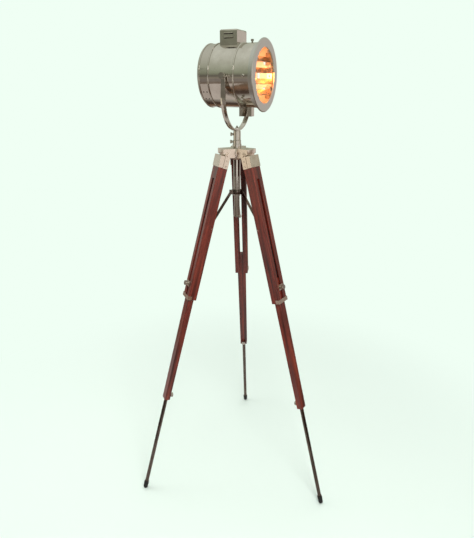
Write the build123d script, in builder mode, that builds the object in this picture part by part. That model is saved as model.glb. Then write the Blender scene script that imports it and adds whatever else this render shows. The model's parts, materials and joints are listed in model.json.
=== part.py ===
"""Searchlight floor lamp: a tilting lamp head in a yoke, on a folding three-legged wooden stand.

Millimetres. +Z is up, the origin is on the floor under the column, and the lamp faces -Y.
"""

import os
from math import cos, radians, sin

from build123d import *

# Fits and gaps
running_fit = 0.06  # radial clearance of a pin or shaft that turns
sliding_fit = 0.08  # radial clearance of a tube that slides in another
slide_gap = 0.3  # gap between faces that slide or turn past each other
seat_gap = 0.05  # gap where a fixed piece is seated on a curved face

# Lamp head, measured along Y from the tilt axis
bezel_diameter = 200.0
bezel_opening = 151.0
bezel_thickness = 3.0
bezel_bevel = 2.0
bezel_skirt_wall = 1.5
bezel_skirt_length = 15.0
drum_diameter = 176.0
drum_wall = 1.5
front_reach = 90.0
front_bead_reach = 26.0
rear_bead_reach = 50.0
rear_reach = 90.0
bead_radius = 2.5
rim_bead_radius = 2.0
rear_corner_radius = 9.0
vent_hole_diameter = 4.0
vent_hole_spread = 15.0
vent_holes_per_row = 9
vent_row_reaches = (61.5, 72.0)
light_slot_width = 8.0
light_slot_height = 33.0
light_slot_setback = 4.0
light_hole_width = 8.0
light_hole_height = 11.0
light_hole_reach = 56.0
light_hole_lean = 25.0

# Louvre
slat_count = 4
slat_pitch = 30.0
slat_depth = 21.0
slat_thickness = 1.2
slat_tilt = 45.0
slat_setback = 3.0
bracket_wall = 1.2
bracket_depth = 17.0
bracket_wide_inset = 14.5
bracket_narrow_inset = 28.5
louvre_screw_angles = (90.0, 220.0, 320.0)
louvre_screw_reach = 48.0
louvre_screw_radius = 4.5
louvre_screw_height = 5.0
louvre_screw_neck_radius = 2.5
louvre_screw_neck = 4.0

# Reflector, lamp holder and bulb
reflector_rim_reach = 19.0
reflector_flange = 4.5
reflector_neck_radius = 18.0
reflector_depth = 63.0
reflector_bulge = 13.0
reflector_wall = 1.2
holder_radius = 16.0
holder_length = 56.0
holder_bore_depth = 24.0
bulb_cap_radius = 13.0
bulb_cap_length = 22.0
bulb_neck_radius = 12.0
bulb_radius = 29.0
bulb_length = 66.0

# Vent hood on top of the head
hood_length = 54.0
hood_width = 68.0
hood_rise = 34.0
hood_setback = 11.5
hood_wall = 1.5
hood_edge_radius = 4.0
hood_slot_length = 30.0
hood_slot_height = 4.0
hood_slot_pitch = 11.0
hood_slot_drop = 9.0
hood_duct_margin = 9.0

# Switch box under the head
box_length = 40.0
box_width = 21.0
box_drop = 25.0
box_front_reach = 52.0
box_wall = 1.5
switch_inset = 8.0
switch_height = 12.0
bush_radius = 4.5
bush_bore_radius = 3.4
bush_length = 8.0
bush_nut_radius = 6.5
bush_nut_thickness = 2.0
lever_ball_radius = 3.1
lever_radius = 1.5
lever_length = 15.0
lever_tip_radius = 2.6
lever_lean = 12.0

# Cable inlet in the back of the head
gland_bore_radius = 4.2
gland_neck_radius = 6.5
gland_flange_radius = 9.0
gland_flange_thickness = 5.0
gland_neck_length = 6.0
gland_drop = 48.0

# Yoke and its tilt pivots
yoke_gap = 6.0
yoke_thickness = 3.5
yoke_width = 15.0
yoke_tip_radius = 6.0
yoke_taper_length = 60.0
yoke_drop = 156.0
tilt_stud_radius = 4.0
tilt_stud_projection = 9.0
tilt_spacer_radius = 8.0
tilt_knob_radius = 8.5
tilt_knob_length = 12.0
pan_stud_radius = 6.0
pan_stud_length = 15.0
pan_flange_radius = 11.0
pan_flange_thickness = 2.0
pan_thread_radius = 4.0
yoke_nut_radius = 6.5
yoke_nut_height = 11.0
yoke_nut_tip_radius = 1.5

# Column, its guide and its clamps
column_radius = 8.8
column_wall = 1.5
column_drop = 199.0
column_seat_depth = 8.0
end_cap_radius = 11.0
end_cap_thickness = 4.0
end_cap_spigot = 8.0
socket_radius = 11.5
socket_height = 25.0
guide_radius = 11.0
guide_drop = 133.0
clamp_upper_radius = 12.5
clamp_lower_radius = 14.0
clamp_upper_height = 11.0
clamp_lower_height = 13.0
clamp_edge_radius = 1.5
post_knob_radius = 5.5
post_knob_height = 5.0
post_knob_neck_radius = 3.5
post_knob_neck = 3.5
post_knob_shank_radius = 2.5
post_knob_angle = 110.0

# Crown that carries the legs
crown_rise = 18.0
crown_radius = 60.0
crown_plate = 14.0
crown_hub_radius = 28.0
crown_hub_drop = 15.0
crown_boss_radius = 9.5
crown_edge_radius = 1.2

# Legs: three, each of two rails, a sliding middle bar and a sliding tube
leg_headings = {"front": -102.0, "left": 18.0, "right": 138.0}
leg_splay = 15.3
pivot_radius = 40.0
leg_offset = 6.5
leg_width = 47.0
leg_depth = 31.0
slot_width = 12.0
wood_top = 14.0
packing_end = 78.0
rail_end = 485.0
strut_pin_reach = 236.0
strut_pin_offset = -4.0
channel_lead = 9.0
rail_edge_radius = 2.0
middle_width = 29.0
middle_depth = 20.0
middle_foot_width = 26.0
middle_foot_depth = 19.0
middle_overlap = 82.0
middle_reach = 392.0
middle_taper_start = 30.0
tube_radius = 6.5
tube_wall = 1.2
tube_overlap = 70.0
tube_travel = 320.0
tube_reach = 385.0
foot_radius = 8.0
foot_sleeve = 24.0
foot_tread_cut = 0.5

# Leg fittings
cap_wall = 1.2
cap_top = 5.0
cap_length = 36.0
strap_width = 16.0
strap_length = 42.0
strap_thickness = 2.5
pivot_bolt_radius = 3.0
bolt_head_radius = 5.5
bolt_head_thickness = 4.0
strap_screw_places = (18.5, 34.5)
screw_radius = 1.6
screw_length = 7.0
screw_head_radius = 2.6
screw_head_height = 1.4
strut_pin_radius = 2.0
clip_length = 13.0
clip_wall = 1.5
clip_wrap = 13.0
nut_plate_width = 26.0
nut_plate_length = 18.0
nut_plate_thickness = 3.0
upper_knob_inset = 52.0
lower_knob_inset = 14.0
leg_knob_radius = 8.0
leg_knob_height = 7.0
leg_knob_neck_radius = 4.5
leg_knob_neck = 4.0
leg_knob_shank_radius = 3.0
knurl_count = 18
knurl_radius = 0.8

# Spreader between the column and the legs
spreader_drop = 120.0
spreader_ring_wall = 4.0
spreader_height = 14.0
spreader_pin_radius = 1.5
spreader_pin_reach = 21.0
ear_thickness = 2.2
ear_margin = 4.5
strut_thickness = 3.0
strut_width = 9.0
strut_eye_radius = 6.8
strut_eye_clearance = 1.8

# Heights and places worked out from the driving dimensions
splay_sin = sin(radians(leg_splay))
splay_cos = cos(radians(leg_splay))
middle_end = rail_end + middle_reach
foot_reach = middle_end + tube_reach
pivot_z = foot_radius - foot_tread_cut - leg_offset * splay_sin + foot_reach * splay_cos
crown_top_z = pivot_z + crown_rise
clamp_top_z = crown_top_z + clamp_lower_height + clamp_upper_height
socket_bottom_z = clamp_top_z + slide_gap
socket_top_z = socket_bottom_z + socket_height
yoke_bottom_z = socket_top_z + slide_gap + pan_flange_thickness
axis_z = yoke_bottom_z + yoke_drop
drum_radius = drum_diameter / 2
drum_inner_radius = drum_radius - drum_wall
reflector_rim_radius = drum_inner_radius - reflector_flange
bracket_wide = drum_inner_radius - bracket_wide_inset
bracket_narrow = drum_inner_radius - bracket_narrow_inset
bezel_back = -front_reach + bezel_thickness
yoke_inner = drum_radius + yoke_gap
yoke_outer = yoke_inner + yoke_thickness

head_plane = Plane(origin=(0, 0, axis_z), x_dir=(0, 1, 0), z_dir=(1, 0, 0))
head_axis = Axis((0, 0, axis_z), (0, 1, 0))
face_plane = Plane(origin=(0, 0, axis_z), x_dir=(1, 0, 0), z_dir=(0, -1, 0))

os.makedirs("parts", exist_ok=True)


def save(piece, name):
    """Label a finished piece and write it to its file."""
    piece.part.label = name
    export_step(piece.part, f"parts/{name}.step")


def knurled_disc(radius):
    """Draw a round knob outline with shallow grip grooves."""
    Circle(radius)
    with PolarLocations(radius, knurl_count):
        Circle(knurl_radius, mode=Mode.SUBTRACT)


def thumbscrew(plane, radius, height, neck_radius, neck, shank_radius, shank):
    """Make a knurled thumbscrew that stands on a plane, its shank below the plane."""
    with BuildPart() as screw:
        with BuildSketch(plane.offset(neck)):
            knurled_disc(radius)
        extrude(amount=height)
        with BuildSketch(plane):
            Circle(neck_radius)
        extrude(amount=neck)
        with BuildSketch(plane):
            Circle(shank_radius)
        extrude(amount=-shank)
    return screw


def cut_drum_envelope():
    """Cut away what lies inside the drum's outer face and its front bead."""
    with BuildSketch(face_plane) as drum_outline:
        Circle(drum_radius + seat_gap)
    extrude(drum_outline.sketch, amount=front_reach + rear_reach, both=True, mode=Mode.SUBTRACT)
    with BuildSketch(head_plane) as bead_outline:
        with Locations((-front_bead_reach, drum_radius)):
            Circle(bead_radius + seat_gap)
    revolve(bead_outline.sketch, axis=head_axis, mode=Mode.SUBTRACT)


# Bezel ring with a skirt that slips over the front of the drum
with BuildPart() as bezel:
    with BuildSketch(head_plane):
        with BuildLine():
            Polyline(
                (-front_reach, bezel_opening / 2),
                (-front_reach, bezel_diameter / 2 - bezel_bevel),
                (-front_reach + bezel_bevel, bezel_diameter / 2),
                (bezel_back, bezel_diameter / 2),
                (bezel_back, drum_radius + seat_gap + bezel_skirt_wall),
                (bezel_back + bezel_skirt_length, drum_radius + seat_gap + bezel_skirt_wall),
                (bezel_back + bezel_skirt_length, drum_radius + seat_gap),
                (bezel_back, drum_radius + seat_gap),
                (bezel_back, bezel_opening / 2),
                close=True,
            )
        make_face()
    revolve(axis=head_axis)
save(bezel, "bezel")

# Front drum with the light slot and two light holes in its left side
with BuildPart() as front_drum:
    with BuildSketch(head_plane):
        with Locations(((bezel_back - front_bead_reach) / 2, drum_radius - drum_wall / 2)):
            Rectangle(-bezel_back - front_bead_reach, drum_wall)
    revolve(axis=head_axis)
    slot_centre = -front_bead_reach - light_slot_setback - light_slot_width / 2
    with BuildSketch(head_plane):
        with Locations((slot_centre, 0)):
            SlotOverall(light_slot_height, light_slot_width, rotation=90)
    extrude(amount=drum_diameter, mode=Mode.SUBTRACT)
    for lean in (-light_hole_lean, light_hole_lean):
        outward = (cos(radians(lean)), 0, sin(radians(lean)))
        with BuildSketch(Plane(origin=(0, -light_hole_reach, axis_z), x_dir=(0, 1, 0), z_dir=outward)):
            RectangleRounded(light_hole_width, light_hole_height, light_hole_width / 4)
        extrude(amount=drum_diameter, mode=Mode.SUBTRACT)
save(front_drum, "front_drum")

# Main drum with a rolled bead at its front edge and the duct up into the hood
with BuildPart() as main_drum:
    with BuildSketch(head_plane):
        with Locations(((rear_bead_reach - front_bead_reach) / 2, drum_radius - drum_wall / 2)):
            Rectangle(rear_bead_reach + front_bead_reach, drum_wall)
        with Locations((-front_bead_reach, drum_radius)):
            Circle(bead_radius)
        with Locations((-front_bead_reach - bead_radius / 2, drum_radius - drum_wall)):
            Rectangle(bead_radius, 2 * drum_wall, mode=Mode.SUBTRACT)
    revolve(axis=head_axis)
    with BuildSketch(Plane((0, hood_setback, axis_z))):
        Rectangle(hood_width - 2 * hood_duct_margin, hood_length - 2 * hood_duct_margin)
    extrude(amount=drum_diameter, mode=Mode.SUBTRACT)
save(main_drum, "main_drum")

# Rear cap: a pressed cup with rolled edges and rows of vent holes low on its side
with BuildPart() as rear_cap:
    inner_corner = rear_corner_radius - drum_wall
    with BuildSketch(head_plane):
        with BuildLine():
            Line((rear_bead_reach, drum_inner_radius), (rear_bead_reach, drum_radius))
            Line((rear_bead_reach, drum_radius), (rear_reach - rear_corner_radius, drum_radius))
            RadiusArc(
                (rear_reach - rear_corner_radius, drum_radius),
                (rear_reach, drum_radius - rear_corner_radius),
                rear_corner_radius,
            )
            Line((rear_reach, drum_radius - rear_corner_radius), (rear_reach, 0))
            Line((rear_reach, 0), (rear_reach - drum_wall, 0))
            Line((rear_reach - drum_wall, 0), (rear_reach - drum_wall, drum_radius - rear_corner_radius))
            RadiusArc(
                (rear_reach - drum_wall, drum_radius - rear_corner_radius),
                (rear_reach - rear_corner_radius, drum_inner_radius),
                -inner_corner,
            )
            Line((rear_reach - rear_corner_radius, drum_inner_radius), (rear_bead_reach, drum_inner_radius))
        make_face()
        with Locations((rear_bead_reach + bead_radius, drum_radius)):
            Circle(bead_radius)
        with Locations((rear_reach - rear_corner_radius, drum_radius)):
            Circle(rim_bead_radius)
    revolve(axis=head_axis)
    for row_reach in vent_row_reaches:
        for hole in range(vent_holes_per_row):
            lean = (hole - (vent_holes_per_row - 1) / 2) * vent_hole_spread
            outward = (sin(radians(lean)), 0, -cos(radians(lean)))
            with BuildSketch(Plane(origin=(0, row_reach, axis_z), x_dir=(0, 1, 0), z_dir=outward)):
                Circle(vent_hole_diameter / 2)
            extrude(amount=drum_diameter, mode=Mode.SUBTRACT)
    with BuildSketch(Plane(origin=(0, rear_reach, axis_z - gland_drop), x_dir=(1, 0, 0), z_dir=(0, 1, 0))):
        Circle(gland_neck_radius + seat_gap)
    extrude(amount=-gland_neck_length, mode=Mode.SUBTRACT)
save(rear_cap, "rear_cap")

# Cable gland in the rear cap
with BuildPart() as cable_gland:
    gland_plane = Plane(origin=(0, rear_reach, axis_z - gland_drop), x_dir=(1, 0, 0), z_dir=(0, 1, 0))
    with BuildSketch(gland_plane):
        Circle(gland_flange_radius)
    extrude(amount=gland_flange_thickness, taper=12)
    with BuildSketch(gland_plane):
        Circle(gland_neck_radius)
    extrude(amount=-gland_neck_length)
    with BuildSketch(gland_plane):
        Circle(gland_bore_radius)
    extrude(amount=gland_flange_thickness + gland_neck_length, both=True, mode=Mode.SUBTRACT)
save(cable_gland, "cable_gland")

# Louvre: flat slats across the front opening, their front edges lower
louvre_front = bezel_back + slat_setback
with BuildPart() as louvre_slats:
    for slat in range(slat_count):
        slat_z = (slat - (slat_count - 1) / 2) * slat_pitch
        slat_reach = bracket_wide if abs(slat_z) < slat_pitch else bracket_narrow
        with BuildSketch(head_plane):
            with Locations((louvre_front + bracket_depth / 2, slat_z)):
                Rectangle(slat_depth, slat_thickness, rotation=slat_tilt)
        extrude(amount=slat_reach - seat_gap, both=True)
save(louvre_slats, "louvre_slats")

# Stepped brackets that carry the ends of the slats, their tips on the drum wall
with BuildPart() as louvre_brackets:
    with BuildSketch(face_plane.offset(-louvre_front)):
        for side in (-1, 1):
            with Locations((side * (bracket_wide + bracket_wall / 2), 0)):
                Rectangle(bracket_wall, 2 * slat_pitch)
            for end in (-1, 1):
                step_x = side * (bracket_wide + bracket_narrow + bracket_wall) / 2
                with Locations((step_x, end * (slat_pitch - bracket_wall / 2))):
                    Rectangle(bracket_wide - bracket_narrow + bracket_wall, bracket_wall)
                with Locations((side * (bracket_narrow + bracket_wall / 2), end * 2 * slat_pitch)):
                    Rectangle(bracket_wall, 2 * slat_pitch)
        Circle(drum_inner_radius - seat_gap, mode=Mode.INTERSECT)
    extrude(amount=-bracket_depth)
save(louvre_brackets, "louvre_brackets")

# Thumbscrews that hold the louvre in the front drum
with BuildPart() as louvre_screws:
    for angle in louvre_screw_angles:
        turn = radians(angle)
        outward = (cos(turn), 0, sin(turn))
        seat = Plane(origin=(0, -louvre_screw_reach, axis_z), x_dir=(0, 1, 0), z_dir=outward)
        with BuildSketch(seat.offset(drum_radius + louvre_screw_neck)):
            knurled_disc(louvre_screw_radius)
        extrude(amount=louvre_screw_height)
        with BuildSketch(seat.offset(drum_radius + louvre_screw_neck)):
            Circle(louvre_screw_neck_radius)
        extrude(amount=-louvre_screw_neck - drum_wall)
    cut_drum_envelope()
save(louvre_screws, "louvre_screws")

# Reflector bowl behind the bulb
with BuildPart() as reflector:
    rim_y = -reflector_rim_reach
    neck_y = rim_y + reflector_depth
    bowl_y = (rim_y + neck_y) / 2
    bowl_radius = (reflector_rim_radius + reflector_neck_radius) / 2
    with BuildSketch(head_plane):
        with BuildLine():
            ThreePointArc(
                (rim_y, reflector_rim_radius),
                (bowl_y + reflector_bulge, bowl_radius + reflector_bulge),
                (neck_y, reflector_neck_radius),
            )
            Line((neck_y, reflector_neck_radius), (neck_y + reflector_wall, reflector_neck_radius))
            ThreePointArc(
                (neck_y + reflector_wall, reflector_neck_radius),
                (bowl_y + reflector_bulge + reflector_wall, bowl_radius + reflector_bulge + reflector_wall),
                (rim_y + reflector_wall, reflector_rim_radius + reflector_wall),
            )
            Polyline(
                (rim_y + reflector_wall, reflector_rim_radius + reflector_wall),
                (rim_y + reflector_wall, drum_inner_radius - seat_gap),
                (rim_y, drum_inner_radius - seat_gap),
                (rim_y, reflector_rim_radius),
            )
        make_face()
    revolve(axis=head_axis)
save(reflector, "reflector")

# Lamp holder fixed to the inside of the rear cap
with BuildPart() as lamp_holder:
    holder_back = rear_reach - drum_wall
    holder_front = holder_back - holder_length
    with BuildSketch(head_plane):
        with Locations(((holder_back + holder_front) / 2, holder_radius / 2)):
            Rectangle(holder_length, holder_radius)
        with Locations((holder_front + holder_bore_depth / 2, bulb_cap_radius / 2)):
            Rectangle(holder_bore_depth, bulb_cap_radius + 2 * seat_gap, mode=Mode.SUBTRACT)
    revolve(axis=head_axis)
save(lamp_holder, "lamp_holder")

# Bulb: screw cap, neck and round glass
with BuildPart() as bulb:
    bulb_back = holder_front + holder_bore_depth - slide_gap
    bulb_shoulder = bulb_back - bulb_cap_length
    bulb_tip = bulb_shoulder - bulb_length
    bulb_centre = bulb_tip + bulb_radius
    with BuildSketch(head_plane):
        with BuildLine():
            Line((bulb_back, 0), (bulb_back, bulb_cap_radius))
            Line((bulb_back, bulb_cap_radius), (bulb_shoulder, bulb_cap_radius))
            Line((bulb_shoulder, bulb_cap_radius), (bulb_shoulder, bulb_neck_radius))
            Spline(
                (bulb_shoulder, bulb_neck_radius),
                (bulb_centre, bulb_radius),
                tangents=((-1, 0), (-1, 0)),
            )
            ThreePointArc(
                (bulb_centre, bulb_radius),
                (bulb_centre - bulb_radius * sin(radians(45)), bulb_radius * cos(radians(45))),
                (bulb_tip, 0),
            )
            Line((bulb_tip, 0), (bulb_back, 0))
        make_face()
    revolve(axis=head_axis)
save(bulb, "bulb")

# Vent hood: a folded box seated on the drum, open below, slotted at its sides
with BuildPart() as vent_hood:
    hood_top = drum_radius + hood_rise
    hood_floor = Plane((0, hood_setback, axis_z))
    with BuildSketch(hood_floor):
        Rectangle(hood_width, hood_length)
    extrude(amount=hood_top)
    fillet(vent_hood.faces().sort_by(Axis.Z)[-1].edges(), radius=hood_edge_radius)
    with BuildSketch(hood_floor):
        Rectangle(hood_width - 2 * hood_wall, hood_length - 2 * hood_wall)
    extrude(amount=hood_top - hood_wall, mode=Mode.SUBTRACT)
    for row in range(2):
        slot_z = hood_top - hood_slot_drop - hood_slot_height / 2 - row * hood_slot_pitch
        with BuildSketch(head_plane):
            with Locations((hood_setback, slot_z)):
                SlotOverall(hood_slot_length, hood_slot_height)
        extrude(amount=hood_width, both=True, mode=Mode.SUBTRACT)
    cut_drum_envelope()
save(vent_hood, "vent_hood")

# Switch box: a folded box under the drum, with a hole for the switch in its left side
switch_y = -box_front_reach + box_length - switch_inset
switch_z = axis_z - drum_radius - box_drop + switch_height
switch_plane = Plane(origin=(box_width / 2, switch_y, switch_z), x_dir=(0, 1, 0), z_dir=(1, 0, 0))
with BuildPart() as switch_box:
    box_centre = -box_front_reach + box_length / 2
    with BuildSketch(Plane((0, box_centre, axis_z - drum_radius - box_drop))):
        Rectangle(box_width, box_length)
    extrude(amount=box_drop + drum_radius / 4)
    with BuildSketch(Plane((0, box_centre, axis_z - drum_radius - box_drop + box_wall))):
        Rectangle(box_width - 2 * box_wall, box_length - 2 * box_wall)
    extrude(amount=box_drop + drum_radius / 4, mode=Mode.SUBTRACT)
    with BuildSketch(switch_plane):
        Circle(bush_radius + seat_gap)
    extrude(amount=-2 * box_wall, mode=Mode.SUBTRACT)
    cut_drum_envelope()
save(switch_box, "switch_box")

# Switch bush with its hexagonal nut
with BuildPart() as switch_bush:
    with BuildSketch(switch_plane):
        RegularPolygon(bush_nut_radius, 6)
    extrude(amount=bush_nut_thickness)
    with BuildSketch(switch_plane.offset(-box_wall)):
        Circle(bush_radius)
    extrude(amount=bush_length)
    with BuildSketch(switch_plane.offset(-box_wall)):
        Circle(bush_bore_radius)
    extrude(amount=bush_length, mode=Mode.SUBTRACT)
save(switch_bush, "switch_bush")

# Toggle lever, leaning down at rest, with its pivot ball in the bush
lever_pivot_x = box_width / 2 - box_wall + bush_length / 2
lever_pivot = (lever_pivot_x, switch_y, switch_z)
with BuildPart() as switch_lever:
    lean = radians(lever_lean)
    lever_plane = Plane(origin=lever_pivot, x_dir=(0, 1, 0), z_dir=(cos(lean), 0, -sin(lean)))
    with BuildSketch(lever_plane):
        Circle(lever_radius)
    extrude(amount=lever_length)
    with Locations(lever_plane):
        Sphere(lever_ball_radius)
    with Locations(lever_plane.offset(lever_length)):
        Sphere(lever_tip_radius)
save(switch_lever, "switch_lever")

# Tilt studs: a spacer on each side of the drum and the stud through the yoke
with BuildPart() as pivot_studs:
    for side in (-1, 1):
        stud_plane = Plane(origin=(0, 0, axis_z), x_dir=(0, 1, 0), z_dir=(side, 0, 0))
        with BuildSketch(stud_plane):
            Circle(tilt_spacer_radius)
        extrude(amount=yoke_inner - slide_gap)
        with BuildSketch(stud_plane):
            Circle(tilt_stud_radius)
        extrude(amount=yoke_outer + tilt_stud_projection)
    cut_drum_envelope()
save(pivot_studs, "pivot_studs")

# Tilt knobs, threaded onto the studs outside the yoke
for name, side in (("left_tilt_knob", 1), ("right_tilt_knob", -1)):
    knob_seat = (side * (yoke_outer + slide_gap), 0, axis_z)
    knob_plane = Plane(origin=knob_seat, x_dir=(0, 1, 0), z_dir=(side, 0, 0))
    with BuildPart() as tilt_knob:
        with BuildSketch(knob_plane):
            knurled_disc(tilt_knob_radius)
        extrude(amount=tilt_knob_length)
        with BuildSketch(knob_plane):
            Circle(tilt_stud_radius + running_fit)
        extrude(amount=tilt_stud_projection, mode=Mode.SUBTRACT)
    save(tilt_knob, name)

# Yoke: a bent flat strip, its arms narrowed towards the tilt pivots
with BuildPart() as yoke:
    arm_length = yoke_drop - yoke_outer
    arm_top = yoke_tip_radius
    with BuildSketch(face_plane):
        with BuildLine():
            Polyline(
                (yoke_inner, -arm_length),
                (yoke_inner, arm_top),
                (yoke_outer, arm_top),
                (yoke_outer, -arm_length),
            )
            RadiusArc((yoke_outer, -arm_length), (-yoke_outer, -arm_length), yoke_outer)
            Polyline(
                (-yoke_outer, -arm_length),
                (-yoke_outer, arm_top),
                (-yoke_inner, arm_top),
                (-yoke_inner, -arm_length),
            )
            RadiusArc((-yoke_inner, -arm_length), (yoke_inner, -arm_length), -yoke_inner)
        make_face()
    extrude(amount=yoke_width / 2, both=True)
    with BuildSketch(head_plane):
        with BuildLine():
            Polyline(
                (yoke_tip_radius, 0),
                (yoke_width / 2, -yoke_taper_length),
                (yoke_width / 2, -yoke_drop),
                (-yoke_width / 2, -yoke_drop),
                (-yoke_width / 2, -yoke_taper_length),
                (-yoke_tip_radius, 0),
            )
            ThreePointArc((-yoke_tip_radius, 0), (0, yoke_tip_radius), (yoke_tip_radius, 0))
        make_face()
    extrude(amount=yoke_outer, both=True, mode=Mode.INTERSECT)
    with BuildSketch(head_plane):
        Circle(tilt_stud_radius + running_fit)
    extrude(amount=yoke_outer, both=True, mode=Mode.SUBTRACT)
    with BuildSketch(Plane((0, 0, yoke_bottom_z))):
        Circle(pan_thread_radius + seat_gap)
    extrude(amount=2 * yoke_thickness, mode=Mode.SUBTRACT)
save(yoke, "yoke")

# Pan stud that turns in the socket and carries the yoke on its flange, with its cone nut
with BuildPart() as pan_stud:
    with BuildSketch(Plane((0, 0, yoke_bottom_z - pan_flange_thickness))):
        Circle(pan_flange_radius)
    extrude(amount=pan_flange_thickness)
    with BuildSketch(Plane((0, 0, yoke_bottom_z - pan_flange_thickness))):
        Circle(pan_stud_radius)
    extrude(amount=-pan_stud_length)
    with BuildSketch(Plane((0, 0, yoke_bottom_z))):
        Circle(pan_thread_radius)
    extrude(amount=yoke_thickness + yoke_nut_height / 2)
with BuildPart() as cone_nut:
    nut_z = yoke_bottom_z + yoke_thickness + slide_gap
    nut_body = yoke_nut_height / 3
    with BuildSketch(Plane((0, 0, nut_z))):
        RegularPolygon(yoke_nut_radius, 6)
    extrude(amount=nut_body)
    with BuildSketch(Plane((0, 0, nut_z + nut_body))):
        Circle(yoke_nut_radius * cos(radians(30)))
    with BuildSketch(Plane((0, 0, nut_z + yoke_nut_height))):
        Circle(yoke_nut_tip_radius)
    loft()
    with BuildSketch(Plane((0, 0, nut_z))):
        Circle(pan_thread_radius + seat_gap)
    extrude(amount=yoke_nut_height / 2, mode=Mode.SUBTRACT)
with BuildPart() as yoke_stud:
    add(pan_stud.part.solids())
    add(cone_nut.part.solids())
save(yoke_stud, "yoke_stud")

# Socket on top of the column, in which the pan stud turns
knob_heading = (cos(radians(post_knob_angle)), sin(radians(post_knob_angle)), 0)
pan_knob_z = socket_bottom_z + (socket_height + column_seat_depth) / 2
with BuildPart() as pan_socket:
    with BuildSketch(Plane((0, 0, socket_bottom_z))):
        Circle(socket_radius)
    extrude(amount=socket_height)
    with BuildSketch(Plane((0, 0, socket_bottom_z))):
        Circle(column_radius + seat_gap)
    extrude(amount=column_seat_depth, mode=Mode.SUBTRACT)
    with BuildSketch(Plane((0, 0, socket_bottom_z))):
        Circle(pan_stud_radius + running_fit)
    extrude(amount=socket_height, mode=Mode.SUBTRACT)
    with BuildSketch(Plane(origin=(0, 0, pan_knob_z), z_dir=knob_heading)):
        Circle(post_knob_shank_radius + running_fit)
    extrude(amount=2 * socket_radius, mode=Mode.SUBTRACT)
save(pan_socket, "pan_socket")

# Column tube that slides in the guide, and the cap that stops it
column_bottom_z = pivot_z - column_drop
with BuildPart() as column_tube:
    column_length = socket_bottom_z + column_seat_depth - column_bottom_z
    with BuildSketch(Plane((0, 0, column_bottom_z))):
        Circle(column_radius)
        Circle(column_radius - column_wall, mode=Mode.SUBTRACT)
    extrude(amount=column_length)
save(column_tube, "column_tube")

with BuildPart() as column_end_cap:
    with BuildSketch(Plane((0, 0, column_bottom_z))):
        Circle(end_cap_radius)
    extrude(amount=-end_cap_thickness)
    fillet(column_end_cap.faces().sort_by(Axis.Z)[0].edges(), radius=end_cap_thickness / 3)
    with BuildSketch(Plane((0, 0, column_bottom_z))):
        Circle(column_radius - column_wall - seat_gap)
    extrude(amount=end_cap_spigot)
save(column_end_cap, "column_end_cap")

# Pan and column thumbscrews
pan_knob_seat = Plane(origin=(0, 0, pan_knob_z), z_dir=knob_heading).offset(socket_radius + slide_gap)
pan_shank = socket_radius - pan_stud_radius
pan_knob = thumbscrew(
    pan_knob_seat,
    post_knob_radius,
    post_knob_height,
    post_knob_neck_radius,
    post_knob_neck,
    post_knob_shank_radius,
    pan_shank,
)
save(pan_knob, "pan_knob")

column_knob_z = crown_top_z + clamp_lower_height + clamp_upper_height / 2
column_knob_plane = Plane(origin=(0, 0, column_knob_z), z_dir=knob_heading)
column_knob_seat = column_knob_plane.offset(clamp_upper_radius + slide_gap)
column_shank = clamp_upper_radius - column_radius
column_knob = thumbscrew(
    column_knob_seat,
    post_knob_radius,
    post_knob_height,
    post_knob_neck_radius,
    post_knob_neck,
    post_knob_shank_radius,
    column_shank,
)
save(column_knob, "column_knob")

# Clamp collar on the crown, stepped, with a threaded hole for the column thumbscrew
with BuildPart() as clamp_collar:
    with BuildSketch(Plane((0, 0, crown_top_z))):
        Circle(clamp_lower_radius)
    extrude(amount=clamp_lower_height)
    fillet(clamp_collar.faces().sort_by(Axis.Z)[-1].edges(), radius=clamp_edge_radius)
    with BuildSketch(Plane((0, 0, crown_top_z))):
        Circle(clamp_upper_radius)
    extrude(amount=clamp_lower_height + clamp_upper_height)
    fillet(clamp_collar.faces().sort_by(Axis.Z)[-1].edges(), radius=clamp_edge_radius)
    with BuildSketch(Plane((0, 0, crown_top_z))):
        Circle(column_radius + sliding_fit)
    extrude(amount=clamp_lower_height + clamp_upper_height, mode=Mode.SUBTRACT)
    with BuildSketch(Plane(origin=(0, 0, column_knob_z), z_dir=knob_heading)):
        Circle(post_knob_shank_radius + running_fit)
    extrude(amount=2 * clamp_upper_radius, mode=Mode.SUBTRACT)
save(clamp_collar, "clamp_collar")

# Guide tube fixed in the crown
with BuildPart() as guide_tube:
    with BuildSketch(Plane((0, 0, pivot_z - guide_drop))):
        Circle(guide_radius)
        Circle(column_radius + sliding_fit, mode=Mode.SUBTRACT)
    extrude(amount=guide_drop + crown_rise)
save(guide_tube, "guide_tube")


def heading_vectors(heading):
    """Return the radial and tangential unit vectors of a leg heading in degrees."""
    turn = radians(heading)
    return Vector(cos(turn), sin(turn), 0), Vector(-sin(turn), cos(turn), 0)


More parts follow.
